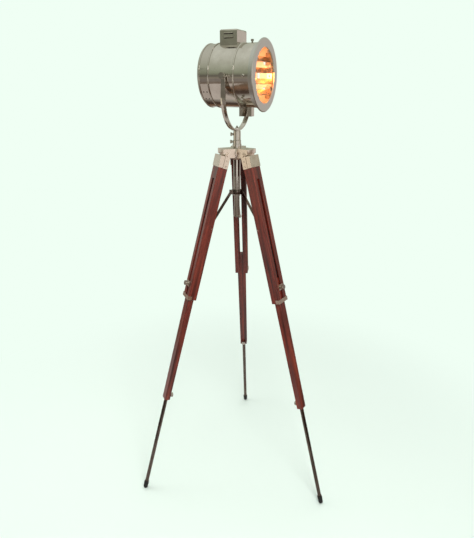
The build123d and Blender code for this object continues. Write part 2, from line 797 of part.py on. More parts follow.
# Crown: a hub and three lobes with rounded ends, each bored for a leg's pivot bolt
with BuildPart() as crown:
    lobe_width = leg_width - 2 * slide_gap
    with BuildSketch(Plane((0, 0, pivot_z - crown_hub_drop))):
        Circle(crown_hub_radius)
    extrude(amount=crown_hub_drop + crown_rise)
    for heading in leg_headings.values():
        radial, tangent = heading_vectors(heading)
        with BuildSketch(Plane(origin=(0, 0, pivot_z), x_dir=radial, z_dir=-tangent)):
            with Locations((crown_radius / 2, crown_rise - crown_plate / 2)):
                Rectangle(crown_radius, crown_plate)
            with Locations((pivot_radius, 0)):
                Circle(crown_boss_radius)
            with Locations((pivot_radius / 2, (crown_rise - crown_boss_radius) / 2)):
                Rectangle(pivot_radius, crown_rise + crown_boss_radius)
        extrude(amount=lobe_width / 2, both=True)
    with BuildSketch(Plane((0, 0, pivot_z - crown_hub_drop))):
        Circle(crown_radius)
    extrude(amount=crown_hub_drop + crown_rise, mode=Mode.INTERSECT)
    top_arcs = crown.faces().sort_by(Axis.Z)[-1].edges().filter_by(GeomType.CIRCLE)
    fillet(top_arcs.sort_by(SortBy.RADIUS)[-3:], radius=crown_edge_radius)
    with BuildSketch(Plane((0, 0, pivot_z - crown_hub_drop))):
        Circle(guide_radius + seat_gap)
    extrude(amount=crown_hub_drop + crown_rise, mode=Mode.SUBTRACT)
    for heading in leg_headings.values():
        radial, tangent = heading_vectors(heading)
        pivot_point = radial * pivot_radius + Vector(0, 0, pivot_z)
        with BuildSketch(Plane(origin=pivot_point, x_dir=radial, z_dir=-tangent)):
            Circle(pivot_bolt_radius + running_fit)
        extrude(amount=leg_width, both=True, mode=Mode.SUBTRACT)
save(crown, "crown")

# Spreader collar that slides on the guide tube, with a pair of ears for each strut
spreader_z = pivot_z - spreader_drop
spreader_ring_radius = guide_radius + sliding_fit + spreader_ring_wall
ear_outer = spreader_pin_reach + ear_margin
ear_slot = strut_thickness + 2 * slide_gap
ear_span = ear_slot + 2 * ear_thickness
with BuildPart() as spreader_collar:
    with BuildSketch(Plane((0, 0, spreader_z - spreader_height / 2))):
        Circle(spreader_ring_radius)
        for heading in leg_headings.values():
            with Locations(Location((0, 0), heading)):
                with Locations((ear_outer / 2, 0)):
                    Rectangle(ear_outer, ear_span)
    extrude(amount=spreader_height)
    with BuildSketch(Plane((0, 0, spreader_z - spreader_height / 2))):
        for heading in leg_headings.values():
            with Locations(Location((0, 0), heading)):
                with Locations((spreader_ring_radius + ear_outer / 2, 0)):
                    Rectangle(ear_outer, ear_slot)
        Circle(guide_radius + sliding_fit)
    extrude(amount=spreader_height, mode=Mode.SUBTRACT)
    for heading in leg_headings.values():
        radial, tangent = heading_vectors(heading)
        ear_point = radial * spreader_pin_reach + Vector(0, 0, spreader_z)
        with BuildSketch(Plane(origin=ear_point, x_dir=radial, z_dir=-tangent)):
            Circle(spreader_pin_radius + seat_gap)
        extrude(amount=ear_span, both=True, mode=Mode.SUBTRACT)
save(spreader_collar, "spreader_collar")

with BuildPart() as spreader_pins:
    for heading in leg_headings.values():
        radial, tangent = heading_vectors(heading)
        ear_point = radial * spreader_pin_reach + Vector(0, 0, spreader_z)
        with BuildSketch(Plane(origin=ear_point, x_dir=radial, z_dir=-tangent)):
            Circle(spreader_pin_radius)
        extrude(amount=ear_span / 2, both=True)
save(spreader_pins, "spreader_pins")

# Leg sizes shared by its pieces
half_leg = leg_width / 2
leg_face = leg_offset + leg_depth / 2
channel_width = middle_width + 2 * slide_gap
channel_depth = middle_depth + 2 * slide_gap
channel_top = strut_pin_reach + channel_lead
middle_top = rail_end - middle_overlap
taper_start = rail_end + middle_taper_start
bore_top = middle_end - tube_overlap - tube_travel - channel_lead
upper_knob_reach = rail_end - upper_knob_inset
lower_knob_reach = middle_end - lower_knob_inset


def make_leg(name, heading):
    """Make every piece of one leg, its pivot in the crown lobe that points along the heading."""
    radial, tangent = heading_vectors(heading)
    down = radial * splay_sin - Vector(0, 0, splay_cos)
    outward = radial * splay_cos + Vector(0, 0, splay_sin)
    pivot = radial * pivot_radius + Vector(0, 0, pivot_z)
    across = Plane(origin=pivot, x_dir=outward, z_dir=down)
    strut_pin_point = pivot + outward * strut_pin_offset + down * strut_pin_reach

    def side_plane(side):
        return Plane(origin=pivot + tangent * (side * half_leg), x_dir=down, z_dir=tangent * side)

    # Two rails and the packing block between their tops, slotted for the sliding bar
    with BuildPart() as rails:
        for side in (-1, 1):
            with BuildSketch(across.offset(wood_top)):
                rail_width = (leg_width - slot_width) / 2
                with Locations((leg_offset, side * (half_leg - rail_width / 2))):
                    RectangleRounded(leg_depth, rail_width, rail_edge_radius)
            extrude(amount=rail_end - wood_top)
        with BuildSketch(across.offset(channel_top)):
            with Locations((leg_offset, 0)):
                Rectangle(channel_depth, channel_width)
        extrude(amount=rail_end - channel_top, mode=Mode.SUBTRACT)
        for side in (-1, 1):
            with BuildSketch(side_plane(side)):
                with Locations(*[(place, 0) for place in strap_screw_places]):
                    Circle(screw_radius + seat_gap)
            extrude(amount=-screw_length, mode=Mode.SUBTRACT)
        with BuildSketch(Plane(origin=strut_pin_point, x_dir=down, z_dir=tangent)):
            Circle(strut_pin_radius + seat_gap)
        extrude(amount=half_leg, both=True, mode=Mode.SUBTRACT)
        with BuildSketch(across.offset(wood_top)):
            with Locations((leg_offset, 0)):
                Rectangle(leg_depth, slot_width + 2 * rail_edge_radius)
        extrude(amount=packing_end - wood_top, mode=Mode.ADD)
    save(rails, f"{name}_leg_rails")

    # Top cap: a folded sheet over the outer face, the sides and the top
    with BuildPart() as cap:
        wrap = leg_face - strap_width / 2 - slide_gap
        with BuildSketch(across.offset(cap_top)):
            with Locations((leg_face - wrap / 2 + cap_wall / 2, 0)):
                Rectangle(wrap + cap_wall, leg_width + 2 * cap_wall)
        extrude(amount=cap_length)
        with BuildSketch(across.offset(cap_top + cap_wall)):
            with Locations((leg_face - wrap / 2, 0)):
                Rectangle(wrap, leg_width)
        extrude(amount=cap_length, mode=Mode.SUBTRACT)
    save(cap, f"{name}_leg_cap")

    # Hinge straps with their screws, the pivot bolt and the strut pin
    with BuildPart() as straps:
        for side in (-1, 1):
            with BuildSketch(side_plane(side)):
                Circle(strap_width / 2)
                with Locations((strap_length / 2, 0)):
                    Rectangle(strap_length, strap_width)
                Circle(pivot_bolt_radius + seat_gap, mode=Mode.SUBTRACT)
                with Locations(*[(place, 0) for place in strap_screw_places]):
                    Circle(screw_radius + seat_gap, mode=Mode.SUBTRACT)
            extrude(amount=strap_thickness)
    with BuildPart() as screws:
        for side in (-1, 1):
            with BuildSketch(side_plane(side).offset(strap_thickness + seat_gap)):
                with Locations(*[(place, 0) for place in strap_screw_places]):
                    Circle(screw_head_radius)
            extrude(amount=screw_head_height, taper=20)
            with BuildSketch(side_plane(side).offset(strap_thickness + seat_gap)):
                with Locations(*[(place, 0) for place in strap_screw_places]):
                    Circle(screw_radius)
            extrude(amount=-strap_thickness - screw_length + slide_gap)
    with BuildPart() as bolt:
        with BuildSketch(Plane(origin=pivot, x_dir=down, z_dir=tangent)):
            Circle(pivot_bolt_radius)
        extrude(amount=half_leg + strap_thickness + seat_gap + bolt_head_thickness, both=True)
        for side in (-1, 1):
            with BuildSketch(side_plane(side).offset(strap_thickness + seat_gap)):
                RegularPolygon(bolt_head_radius, 6)
            extrude(amount=bolt_head_thickness)
    with BuildPart() as strut_pin:
        with BuildSketch(Plane(origin=strut_pin_point, x_dir=down, z_dir=tangent)):
            Circle(strut_pin_radius)
        extrude(amount=half_leg, both=True)
    with BuildPart() as hinge_set:
        for group in (straps, screws, bolt, strut_pin):
            add(group.part.solids())
    save(hinge_set, f"{name}_leg_straps")

    # Lower clip and the nut plate of the upper thumbscrew
    with BuildPart() as clip:
        with BuildSketch(across.offset(rail_end - clip_length)):
            with Locations((leg_face - clip_wrap / 2 + clip_wall / 2, 0)):
                Rectangle(clip_wrap + clip_wall, leg_width + 2 * clip_wall)
            with Locations((leg_face - clip_wrap / 2, 0)):
                Rectangle(clip_wrap, leg_width, mode=Mode.SUBTRACT)
        extrude(amount=clip_length)
        nut_point = pivot + outward * leg_face + down * upper_knob_reach
        nut_plane = Plane(origin=nut_point, x_dir=down, z_dir=outward)
        with BuildSketch(nut_plane):
            RectangleRounded(nut_plate_length, nut_plate_width, rail_edge_radius)
            Circle(leg_knob_shank_radius + running_fit, mode=Mode.SUBTRACT)
        extrude(amount=nut_plate_thickness)
    save(clip, f"{name}_leg_clip")

    # Thumbscrew that clamps the middle bar
    upper_seat = nut_plane.offset(nut_plate_thickness + slide_gap)
    upper_shank = nut_plate_thickness + leg_face - leg_offset - middle_depth / 2
    upper_knob = thumbscrew(
        upper_seat,
        leg_knob_radius,
        leg_knob_height,
        leg_knob_neck_radius,
        leg_knob_neck,
        leg_knob_shank_radius,
        upper_shank,
    )
    save(upper_knob, f"{name}_upper_knob")

    # Middle bar, tapered below the rails and bored for the tube
    lower_face = leg_offset - middle_foot_depth / 2 - (middle_depth - middle_foot_depth) / 2
    lower_point = pivot + outward * lower_face + down * lower_knob_reach
    lower_seat = Plane(origin=lower_point, x_dir=down, z_dir=-outward)
    with BuildPart() as middle:
        with BuildSketch(across.offset(middle_top)):
            with Locations((leg_offset, 0)):
                Rectangle(middle_depth, middle_width)
        extrude(amount=taper_start - middle_top)
        with BuildSketch(across.offset(taper_start)):
            with Locations((leg_offset, 0)):
                Rectangle(middle_depth, middle_width)
        with BuildSketch(across.offset(middle_end)):
            with Locations((leg_offset, 0)):
                Rectangle(middle_foot_depth, middle_foot_width)
        loft()
        with BuildSketch(across.offset(bore_top)):
            with Locations((leg_offset, 0)):
                Circle(tube_radius + sliding_fit)
        extrude(amount=middle_end - bore_top, mode=Mode.SUBTRACT)
        with BuildSketch(lower_seat):
            Circle(leg_knob_shank_radius + running_fit)
        extrude(amount=-middle_foot_depth / 2, mode=Mode.SUBTRACT)
    save(middle, f"{name}_leg_middle")

    # Thumbscrew that clamps the tube, on the inner face of the middle bar
    lower_shank = leg_offset - lower_face - tube_radius - slide_gap
    lower_knob = thumbscrew(
        lower_seat,
        leg_knob_radius,
        leg_knob_height,
        leg_knob_neck_radius,
        leg_knob_neck,
        leg_knob_shank_radius,
        lower_shank,
    )
    save(lower_knob, f"{name}_lower_knob")

    # Tube and its rubber foot
    tube_top = middle_end - tube_overlap
    with BuildPart() as tube:
        with BuildSketch(across.offset(tube_top)):
            with Locations((leg_offset, 0)):
                Circle(tube_radius)
                Circle(tube_radius - tube_wall, mode=Mode.SUBTRACT)
        extrude(amount=foot_reach - tube_top)
    save(tube, f"{name}_leg_tube")

    with BuildPart() as foot:
        with BuildSketch(across.offset(foot_reach - foot_sleeve)):
            with Locations((leg_offset, 0)):
                Circle(foot_radius)
        extrude(amount=foot_sleeve)
        with Locations(pivot + outward * leg_offset + down * foot_reach):
            Sphere(foot_radius)
        with BuildSketch(across.offset(foot_reach - foot_sleeve)):
            with Locations((leg_offset, 0)):
                Circle(tube_radius + seat_gap)
        extrude(amount=foot_sleeve, mode=Mode.SUBTRACT)
        split(bisect_by=Plane.XY, keep=Keep.TOP)
    save(foot, f"{name}_leg_foot")

    # Strut from the spreader to the leg, with a roomy eye at the leg
    collar_point = radial * spreader_pin_reach + Vector(0, 0, spreader_z)
    reach = strut_pin_point - collar_point
    with BuildPart() as strut:
        with BuildSketch(Plane(origin=collar_point, x_dir=reach, z_dir=tangent)):
            with Locations((reach.length / 2, 0)):
                Rectangle(reach.length, strut_width)
            Circle(strut_width / 2)
            with Locations((reach.length, 0)):
                Circle(strut_eye_radius)
                Circle(strut_pin_radius + strut_eye_clearance, mode=Mode.SUBTRACT)
            Circle(spreader_pin_radius + running_fit, mode=Mode.SUBTRACT)
        extrude(amount=strut_thickness / 2, both=True)
    save(strut, f"{name}_strut")


for leg_name, leg_heading in leg_headings.items():
    make_leg(leg_name, leg_heading)
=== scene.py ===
"""Looks of a searchlight floor lamp: its finishes, small fittings, glow, studio and camera."""

import json
import logging
import math
from dataclasses import dataclass, field
from enum import Enum
from typing import Any, Callable, Iterable

import bmesh
import bpy
from mathutils import Matrix, Vector


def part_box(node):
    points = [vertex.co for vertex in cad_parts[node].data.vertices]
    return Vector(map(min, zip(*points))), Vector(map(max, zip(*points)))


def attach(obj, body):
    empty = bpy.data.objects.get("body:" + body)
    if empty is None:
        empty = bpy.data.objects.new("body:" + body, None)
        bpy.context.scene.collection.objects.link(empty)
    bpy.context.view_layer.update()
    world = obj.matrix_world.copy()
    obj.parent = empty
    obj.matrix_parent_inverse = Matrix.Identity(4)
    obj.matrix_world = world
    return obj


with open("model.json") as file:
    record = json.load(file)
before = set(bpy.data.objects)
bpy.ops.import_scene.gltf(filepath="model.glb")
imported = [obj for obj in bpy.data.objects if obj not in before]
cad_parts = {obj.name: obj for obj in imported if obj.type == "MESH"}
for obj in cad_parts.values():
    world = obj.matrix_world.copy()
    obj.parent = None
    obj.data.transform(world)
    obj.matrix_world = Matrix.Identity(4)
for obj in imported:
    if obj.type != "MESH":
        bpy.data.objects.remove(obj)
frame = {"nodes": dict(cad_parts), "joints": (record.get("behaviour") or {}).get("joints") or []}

LOG = logging.getLogger("searchlight_lamp")
MM = 0.001
METRE_MM = 1000.0
# Blender's noise lies mostly between these two values
PATTERN_LOW = 0.3
PATTERN_HIGH = 0.7
SHARP_ANGLE = math.radians(38)
ROUNDED_ANGLE = math.radians(40)
WELD_REACH = 0.00001

Tree = bpy.types.NodeTree
Socket = bpy.types.NodeSocket
Place = tuple[float, float, float]
Profile = list[tuple[float, float]]
Stops = Iterable[tuple[float, str]]


def linear(hex_colour: str) -> tuple[float, float, float, float]:
    """Turn an sRGB hex colour into linear RGBA.

    Args:
        hex_colour: Six hex digits after a hash sign.

    Returns:
        Linear red, green and blue, with an alpha of 1.
    """
    parts = [int(hex_colour[i : i + 2], 16) / 255 for i in (1, 3, 5)]
    red, green, blue = (c / 12.92 if c <= 0.04045 else ((c + 0.055) / 1.055) ** 2.4 for c in parts)
    return red, green, blue, 1.0


def add_node(tree: Tree, kind: str, settings: dict[str, Any], inputs: dict[Any, Any]) -> bpy.types.Node:
    """Add a shader node with its settings, values and links.

    Args:
        tree: The node tree that takes the node.
        kind: The node's Blender type name.
        settings: Attribute names and values.
        inputs: Socket names or numbers, each with a value or the socket that feeds it.

    Returns:
        The new node.
    """
    node = tree.nodes.new(kind)
    for key, value in settings.items():
        setattr(node, key, value)
    for key, value in inputs.items():
        if isinstance(value, Socket):
            tree.links.new(value, node.inputs[key])
        else:
            node.inputs[key].default_value = value
    return node


def new_material(name: str) -> tuple[bpy.types.Material, Tree, bpy.types.Node]:
    """Make a material with one surface shader.

    Args:
        name: The material's name.

    Returns:
        The material, its node tree and its surface shader.
    """
    material = bpy.data.materials.new(name)
    material.use_nodes = True
    tree = material.node_tree
    return material, tree, tree.nodes["Principled BSDF"]


def blend_colours(tree: Tree, factor: Socket, stops: Stops) -> Socket:
    """Colour a grey pattern through a ramp.

    Args:
        tree: The node tree that takes the ramp.
        factor: The grey pattern.
        stops: Places from 0 to 1, each with a hex colour.

    Returns:
        The colour output.
    """
    ramp = add_node(tree, "ShaderNodeValToRGB", {}, {"Fac": factor})
    marks = ramp.color_ramp.elements
    stops = list(stops)
    while len(marks) < len(stops):
        marks.new(0.5)
    for mark, (place, colour) in zip(marks, stops):
        mark.position = place
        mark.color = linear(colour)
    return ramp.outputs["Color"]


def two_tones(tree: Tree, factor: Socket, dark: str, pale: str) -> Socket:
    """Colour the middle of a grey pattern from a dark to a pale tone.

    Args:
        tree: The node tree that takes the ramp.
        factor: The grey pattern.
        dark: The hex colour of its dark parts.
        pale: The hex colour of its light parts.

    Returns:
        The colour output.
    """
    return blend_colours(tree, factor, [(PATTERN_LOW, dark), (PATTERN_HIGH, pale)])


def map_range(tree: Tree, value: Socket, span: dict[str, float], easing: str = "LINEAR") -> Socket:
    """Map a value from one range to another.

    Args:
        tree: The node tree that takes the node.
        value: The value to map.
        span: Socket names of the two ranges' ends, with their values.
        easing: Blender's name for the way between the ends.

    Returns:
        The mapped value.
    """
    settings = {"interpolation_type": easing}
    return add_node(tree, "ShaderNodeMapRange", settings, {"Value": value, **span}).outputs["Result"]


def spread(tree: Tree, value: Socket, low: float, high: float) -> Socket:
    """Stretch the middle of a grey pattern over a range of values.

    Args:
        tree: The node tree that takes the node.
        value: The grey pattern.
        low: The value for the pattern's dark parts.
        high: The value for its light parts.

    Returns:
        The stretched value.
    """
    span = {"From Min": PATTERN_LOW, "From Max": PATTERN_HIGH, "To Min": low, "To Max": high}
    return map_range(tree, value, span)


def object_place(tree: Tree) -> Socket:
    """Read an object's own coordinates.

    Args:
        tree: The node tree that takes the node.

    Returns:
        The coordinates in metres.
    """
    return add_node(tree, "ShaderNodeTexCoord", {}, {}).outputs["Object"]


def across_axis(tree: Tree, place: Socket, axis_height: float) -> Socket:
    """Measure places from the head's axis, which runs along Y.

    Args:
        tree: The node tree that takes the node.
        place: The coordinates in metres.
        axis_height: Height of the axis in metres.

    Returns:
        The offsets from the axis, flat in Y.
    """
    inputs = {"Vector": place, "Location": (0, 0, -axis_height), "Scale": (1, 0, 1)}
    return add_node(tree, "ShaderNodeMapping", {}, inputs).outputs["Vector"]


def clouds(tree: Tree, place: Socket, size_mm: float, detail: float) -> Socket:
    """Add a cloudy pattern of a real size.

    Args:
        tree: The node tree that takes the node.
        place: The coordinates in metres.
        size_mm: Width of one cloud in millimetres.
        detail: How many finer layers it has.

    Returns:
        The grey pattern.
    """
    inputs = {"Vector": place, "Scale": METRE_MM / size_mm, "Detail": detail}
    return add_node(tree, "ShaderNodeTexNoise", {}, inputs).outputs["Fac"]


def relief(tree: Tree, height: Socket, depth_mm: float, strength: float) -> Socket:
    """Turn a grey pattern into a shallow relief.

    Args:
        tree: The node tree that takes the node.
        height: The grey pattern.
        depth_mm: Depth of the relief in millimetres.
        strength: How much of it shows, from 0 to 1.

    Returns:
        The surface normal.
    """
    inputs = {"Height": height, "Distance": depth_mm * MM, "Strength": strength}
    return add_node(tree, "ShaderNodeBump", {}, inputs).outputs["Normal"]


def link_surface(
    tree: Tree, shader: bpy.types.Node, colour: Socket, roughness: Socket, normal: Socket
) -> None:
    """Feed a surface shader.

    Args:
        tree: The shader's node tree.
        shader: The surface shader.
        colour: Its colour.
        roughness: Its roughness.
        normal: Its relief.
    """
    for name, source in (("Base Color", colour), ("Roughness", roughness), ("Normal", normal)):
        tree.links.new(source, shader.inputs[name])


@dataclass(frozen=True)
class PolishedNickel:
    """Nickel plate on brass sheet, buffed to a mirror: clear reflections that wander with the sheet."""

    name: str = "mirror_polished_nickel_plate"
    pale: str = "#CDC8BF"
    dark: str = "#BDB7AD"
    cloud_mm: float = 26.0
    wave_mm: float = 60.0
    wave_height_mm: float = 0.10
    roughness: tuple[float, float] = (0.035, 0.11)

    def material(self) -> bpy.types.Material:
        """Build the material.

        Returns:
            Mirror metal with buffing clouds and slow sheet waves.
        """
        material, tree, shader = new_material(self.name)
        place = object_place(tree)
        # Buffing leaves clouds of haze about as wide as the mop's edge
        cloud = clouds(tree, place, self.cloud_mm, 4.0)
        # Rolled sheet is never quite flat, so straight reflections bend a little
        wave = clouds(tree, place, self.wave_mm, 0.0)
        colour = two_tones(tree, cloud, self.dark, self.pale)
        normal = relief(tree, wave, self.wave_height_mm, 1.0)
        link_surface(tree, shader, colour, spread(tree, cloud, *self.roughness), normal)
        shader.inputs["Metallic"].default_value = 1.0
        return material


@dataclass(frozen=True)
class DrumPlate(PolishedNickel):
    """The drum's sheet: mirror polish outside, left rough and of a paler, warmer tone inside."""

    name: str = "drum_sheet_polished_outside"
    axis_height: float = 0.0
    inside: str = "#E6D8C2"
    inside_roughness: float = 0.5
    # Offset from the axis times the normal, below which a face looks inward
    inward: float = -0.01

    def material(self) -> bpy.types.Material:
        """Build the material.

        Returns:
            Mirror metal whose faces towards the head's axis are rough.
        """
        material = super().material()
        tree = material.node_tree
        shader = tree.nodes["Principled BSDF"]
        coordinates = add_node(tree, "ShaderNodeTexCoord", {}, {})
        flat = across_axis(tree, coordinates.outputs["Object"], self.axis_height)
        outward = add_node(
            tree,
            "ShaderNodeVectorMath",
            {"operation": "DOT_PRODUCT"},
            {0: flat, 1: coordinates.outputs["Normal"]},
        ).outputs["Value"]
        within = add_node(
            tree, "ShaderNodeMath", {"operation": "LESS_THAN"}, {0: outward, 1: self.inward}
        ).outputs["Value"]
        polish = shader.inputs["Base Color"].links[0].from_socket
        haze = shader.inputs["Roughness"].links[0].from_socket
        colour = add_node(
            tree, "ShaderNodeMix", {"data_type": "RGBA"}, {0: within, 6: polish, 7: linear(self.inside)}
        ).outputs[2]
        roughness = add_node(
            tree, "ShaderNodeMix", {}, {0: within, 2: haze, 3: self.inside_roughness}
        ).outputs[0]
        tree.links.new(colour, shader.inputs["Base Color"])
        tree.links.new(roughness, shader.inputs["Roughness"])
        return material


@dataclass(frozen=True)
class SatinNickel:
    """Nickel plate over a finely blasted surface: soft broad highlights and a grain of tiny pits."""

    name: str = "satin_nickel_plate"
    pale: str = "#CBC7C0"
    dark: str = "#B7B3AB"
    cloud_mm: float = 35.0
    pit_mm: float = 0.9
    pit_depth_mm: float = 0.02
    roughness: tuple[float, float] = (0.26, 0.38)

    def material(self) -> bpy.types.Material:
        """Build the material.

        Returns:
            Satin metal with faint handling clouds and a fine blasted grain.
        """
        material, tree, shader = new_material(self.name)
        place = object_place(tree)
        cloud = clouds(tree, place, self.cloud_mm, 5.0)
        # Blast pits are really about 0.1 mm wide, drawn coarser here so that they show
        pits = clouds(tree, place, self.pit_mm, 2.0)
        colour = two_tones(tree, cloud, self.dark, self.pale)
        normal = relief(tree, pits, self.pit_depth_mm, 0.6)
        link_surface(tree, shader, colour, spread(tree, cloud, *self.roughness), normal)
        shader.inputs["Metallic"].default_value = 1.0
        return material


@dataclass(frozen=True)
class SpunMetal:
    """Metal spun on a lathe: fine rings about the lamp's axis that draw the light into a fan."""

    name: str
    pale: str
    dark: str
    axis_height: float
    ring_mm: float = 1.1
    ring_depth_mm: float = 0.015
    roughness: tuple[float, float] = (0.16, 0.30)

    def material(self) -> bpy.types.Material:
        """Build the material.

        Returns:
            Metal with rings about the head's axis.
        """
        material, tree, shader = new_material(self.name)
        flat = across_axis(tree, object_place(tree), self.axis_height)
        radius = add_node(tree, "ShaderNodeVectorMath", {"operation": "LENGTH"}, {0: flat}).outputs["Value"]
        # Tool rings are about 0.2 mm apart on the real one, drawn coarser here so that they show
        rings = add_node(
            tree,
            "ShaderNodeTexNoise",
            {"noise_dimensions": "1D"},
            {"W": radius, "Scale": METRE_MM / self.ring_mm, "Detail": 3.0},
        ).outputs["Fac"]
        colour = two_tones(tree, rings, self.dark, self.pale)
        normal = relief(tree, rings, self.ring_depth_mm, 0.8)
        link_surface(tree, shader, colour, spread(tree, rings, *self.roughness), normal)
        shader.inputs["Metallic"].default_value = 1.0
        return material


@dataclass(frozen=True)
class Mahogany:
    """Dark French-polished mahogany: long red-brown grain, short pores and a thin glossy polish."""

    name: str
    turn: Matrix
    tones: tuple[tuple[float, str], ...] = (
        (0.28, "#2C0C07"),
        (0.46, "#56190F"),
        (0.6, "#702416"),
        (0.75, "#8C3620"),
    )
    # Widths across and along the grain
    figure_mm: tuple[float, float] = (9.0, 190.0)
    pore_mm: tuple[float, float] = (0.9, 22.0)
    pore_depth_mm: float = 0.05
    pore_edges: tuple[float, float] = (0.34, 0.46)
    pore_shade: float = 0.45
    roughness: tuple[float, float] = (0.34, 0.48)
    polish: float = 0.4
    polish_roughness: float = 0.14

    def grain(self, tree: Tree, along: Socket, size_mm: tuple[float, float], detail: float) -> Socket:
        """Add a pattern drawn out along the leg.

        Args:
            tree: The node tree that takes the nodes.
            along: Coordinates whose Z runs along the leg.
            size_mm: Widths across and along the grain in millimetres.
            detail: How many finer layers it has.

        Returns:
            The grey pattern.
        """
        across = METRE_MM / size_mm[0]
        scale = (across, across, METRE_MM / size_mm[1])
        drawn = add_node(tree, "ShaderNodeMapping", {}, {"Vector": along, "Scale": scale}).outputs["Vector"]
        inputs = {"Vector": drawn, "Scale": 1.0, "Detail": detail}
        return add_node(tree, "ShaderNodeTexNoise", {}, inputs).outputs["Fac"]

    def material(self) -> bpy.types.Material:
        """Build the material.

        Returns:
            Polished wood whose grain runs along the leg.
        """
        material, tree, shader = new_material(self.name)
        inputs = {"Vector": object_place(tree), "Rotation": self.turn.to_euler("XYZ")}
        along = add_node(tree, "ShaderNodeMapping", {}, inputs).outputs["Vector"]
        figure = self.grain(tree, along, self.figure_mm, 5.0)
        pores = self.grain(tree, along, self.pore_mm, 2.0)
        body = blend_colours(tree, figure, self.tones)
        low, high = self.pore_edges
        shade = map_range(tree, pores, {"From Min": low, "From Max": high, "To Min": self.pore_shade})
        colour = add_node(
            tree,
            "ShaderNodeMix",
            {"data_type": "RGBA", "blend_type": "MULTIPLY"},
            {0: 1.0, 6: body, 7: shade},
        ).outputs[2]
        normal = relief(tree, pores, self.pore_depth_mm, 0.5)
        link_surface(tree, shader, colour, spread(tree, figure, *self.roughness), normal)
        shader.inputs["Coat Weight"].default_value = self.polish
        shader.inputs["Coat Roughness"].default_value = self.polish_roughness
        return material


@dataclass(frozen=True)
class Moulding:
    """A moulded black material, rubber or phenolic, also used as the painted shade of screw slots: dark, with
    the faint orange peel of its mould.
    """

    name: str
    pale: str
    dark: str
    roughness: tuple[float, float]
    peel_mm: float = 2.2
    peel_depth_mm: float = 0.05

    def material(self) -> bpy.types.Material:
        """Build the material.

        Returns:
            Dark moulding with a soft uneven surface.
        """
        material, tree, shader = new_material(self.name)
        peel = clouds(tree, object_place(tree), self.peel_mm, 3.0)
        colour = two_tones(tree, peel, self.dark, self.pale)
        normal = relief(tree, peel, self.peel_depth_mm, 0.5)
        link_surface(tree, shader, colour, spread(tree, peel, *self.roughness), normal)
        return material


@dataclass(frozen=True)
class PearlGlass:
    """The lit bulb: frosted glass that glows, whitest at its round end and warmer towards its cap."""

    name: str = "lit_pearl_glass"
    glass: str = "#F3E2C4"
    hot: str = "#FFF4E6"
    warm: str = "#FFCE9C"
    warm_until: float = 0.1
    hot_from: float = 0.8
    strength: float = 2.6
    cap_y: float = 0.034
    tip_y: float = -0.02
    # Grains of frost in a metre, so each is about 1.1 mm
    frost_per_metre: float = 900.0
    roughness: tuple[float, float] = (0.3, 0.5)

    def material(self) -> bpy.types.Material:
        """Build the material.

        Returns:
            Glowing frosted glass.
        """
        material, tree, shader = new_material(self.name)
        place = object_place(tree)
        depth = add_node(tree, "ShaderNodeSeparateXYZ", {}, {0: place}).outputs["Y"]
        rise = map_range(tree, depth, {"From Min": self.cap_y, "From Max": self.tip_y})
        glow = blend_colours(tree, rise, [(self.warm_until, self.warm), (self.hot_from, self.hot)])
        inputs = {"Vector": place, "Scale": self.frost_per_metre, "Detail": 2.0}
        frost = add_node(tree, "ShaderNodeTexNoise", {}, inputs).outputs["Fac"]
        tree.links.new(glow, shader.inputs["Emission Color"])
        tree.links.new(spread(tree, frost, *self.roughness), shader.inputs["Roughness"])
        shader.inputs["Base Color"].default_value = linear(self.glass)
        shader.inputs["Emission Strength"].default_value = self.strength
        return material


class Metal(Enum):
    """Which plate a small fitting has."""

    POLISHED = "polished_nickel"
    SATIN = "satin_nickel"


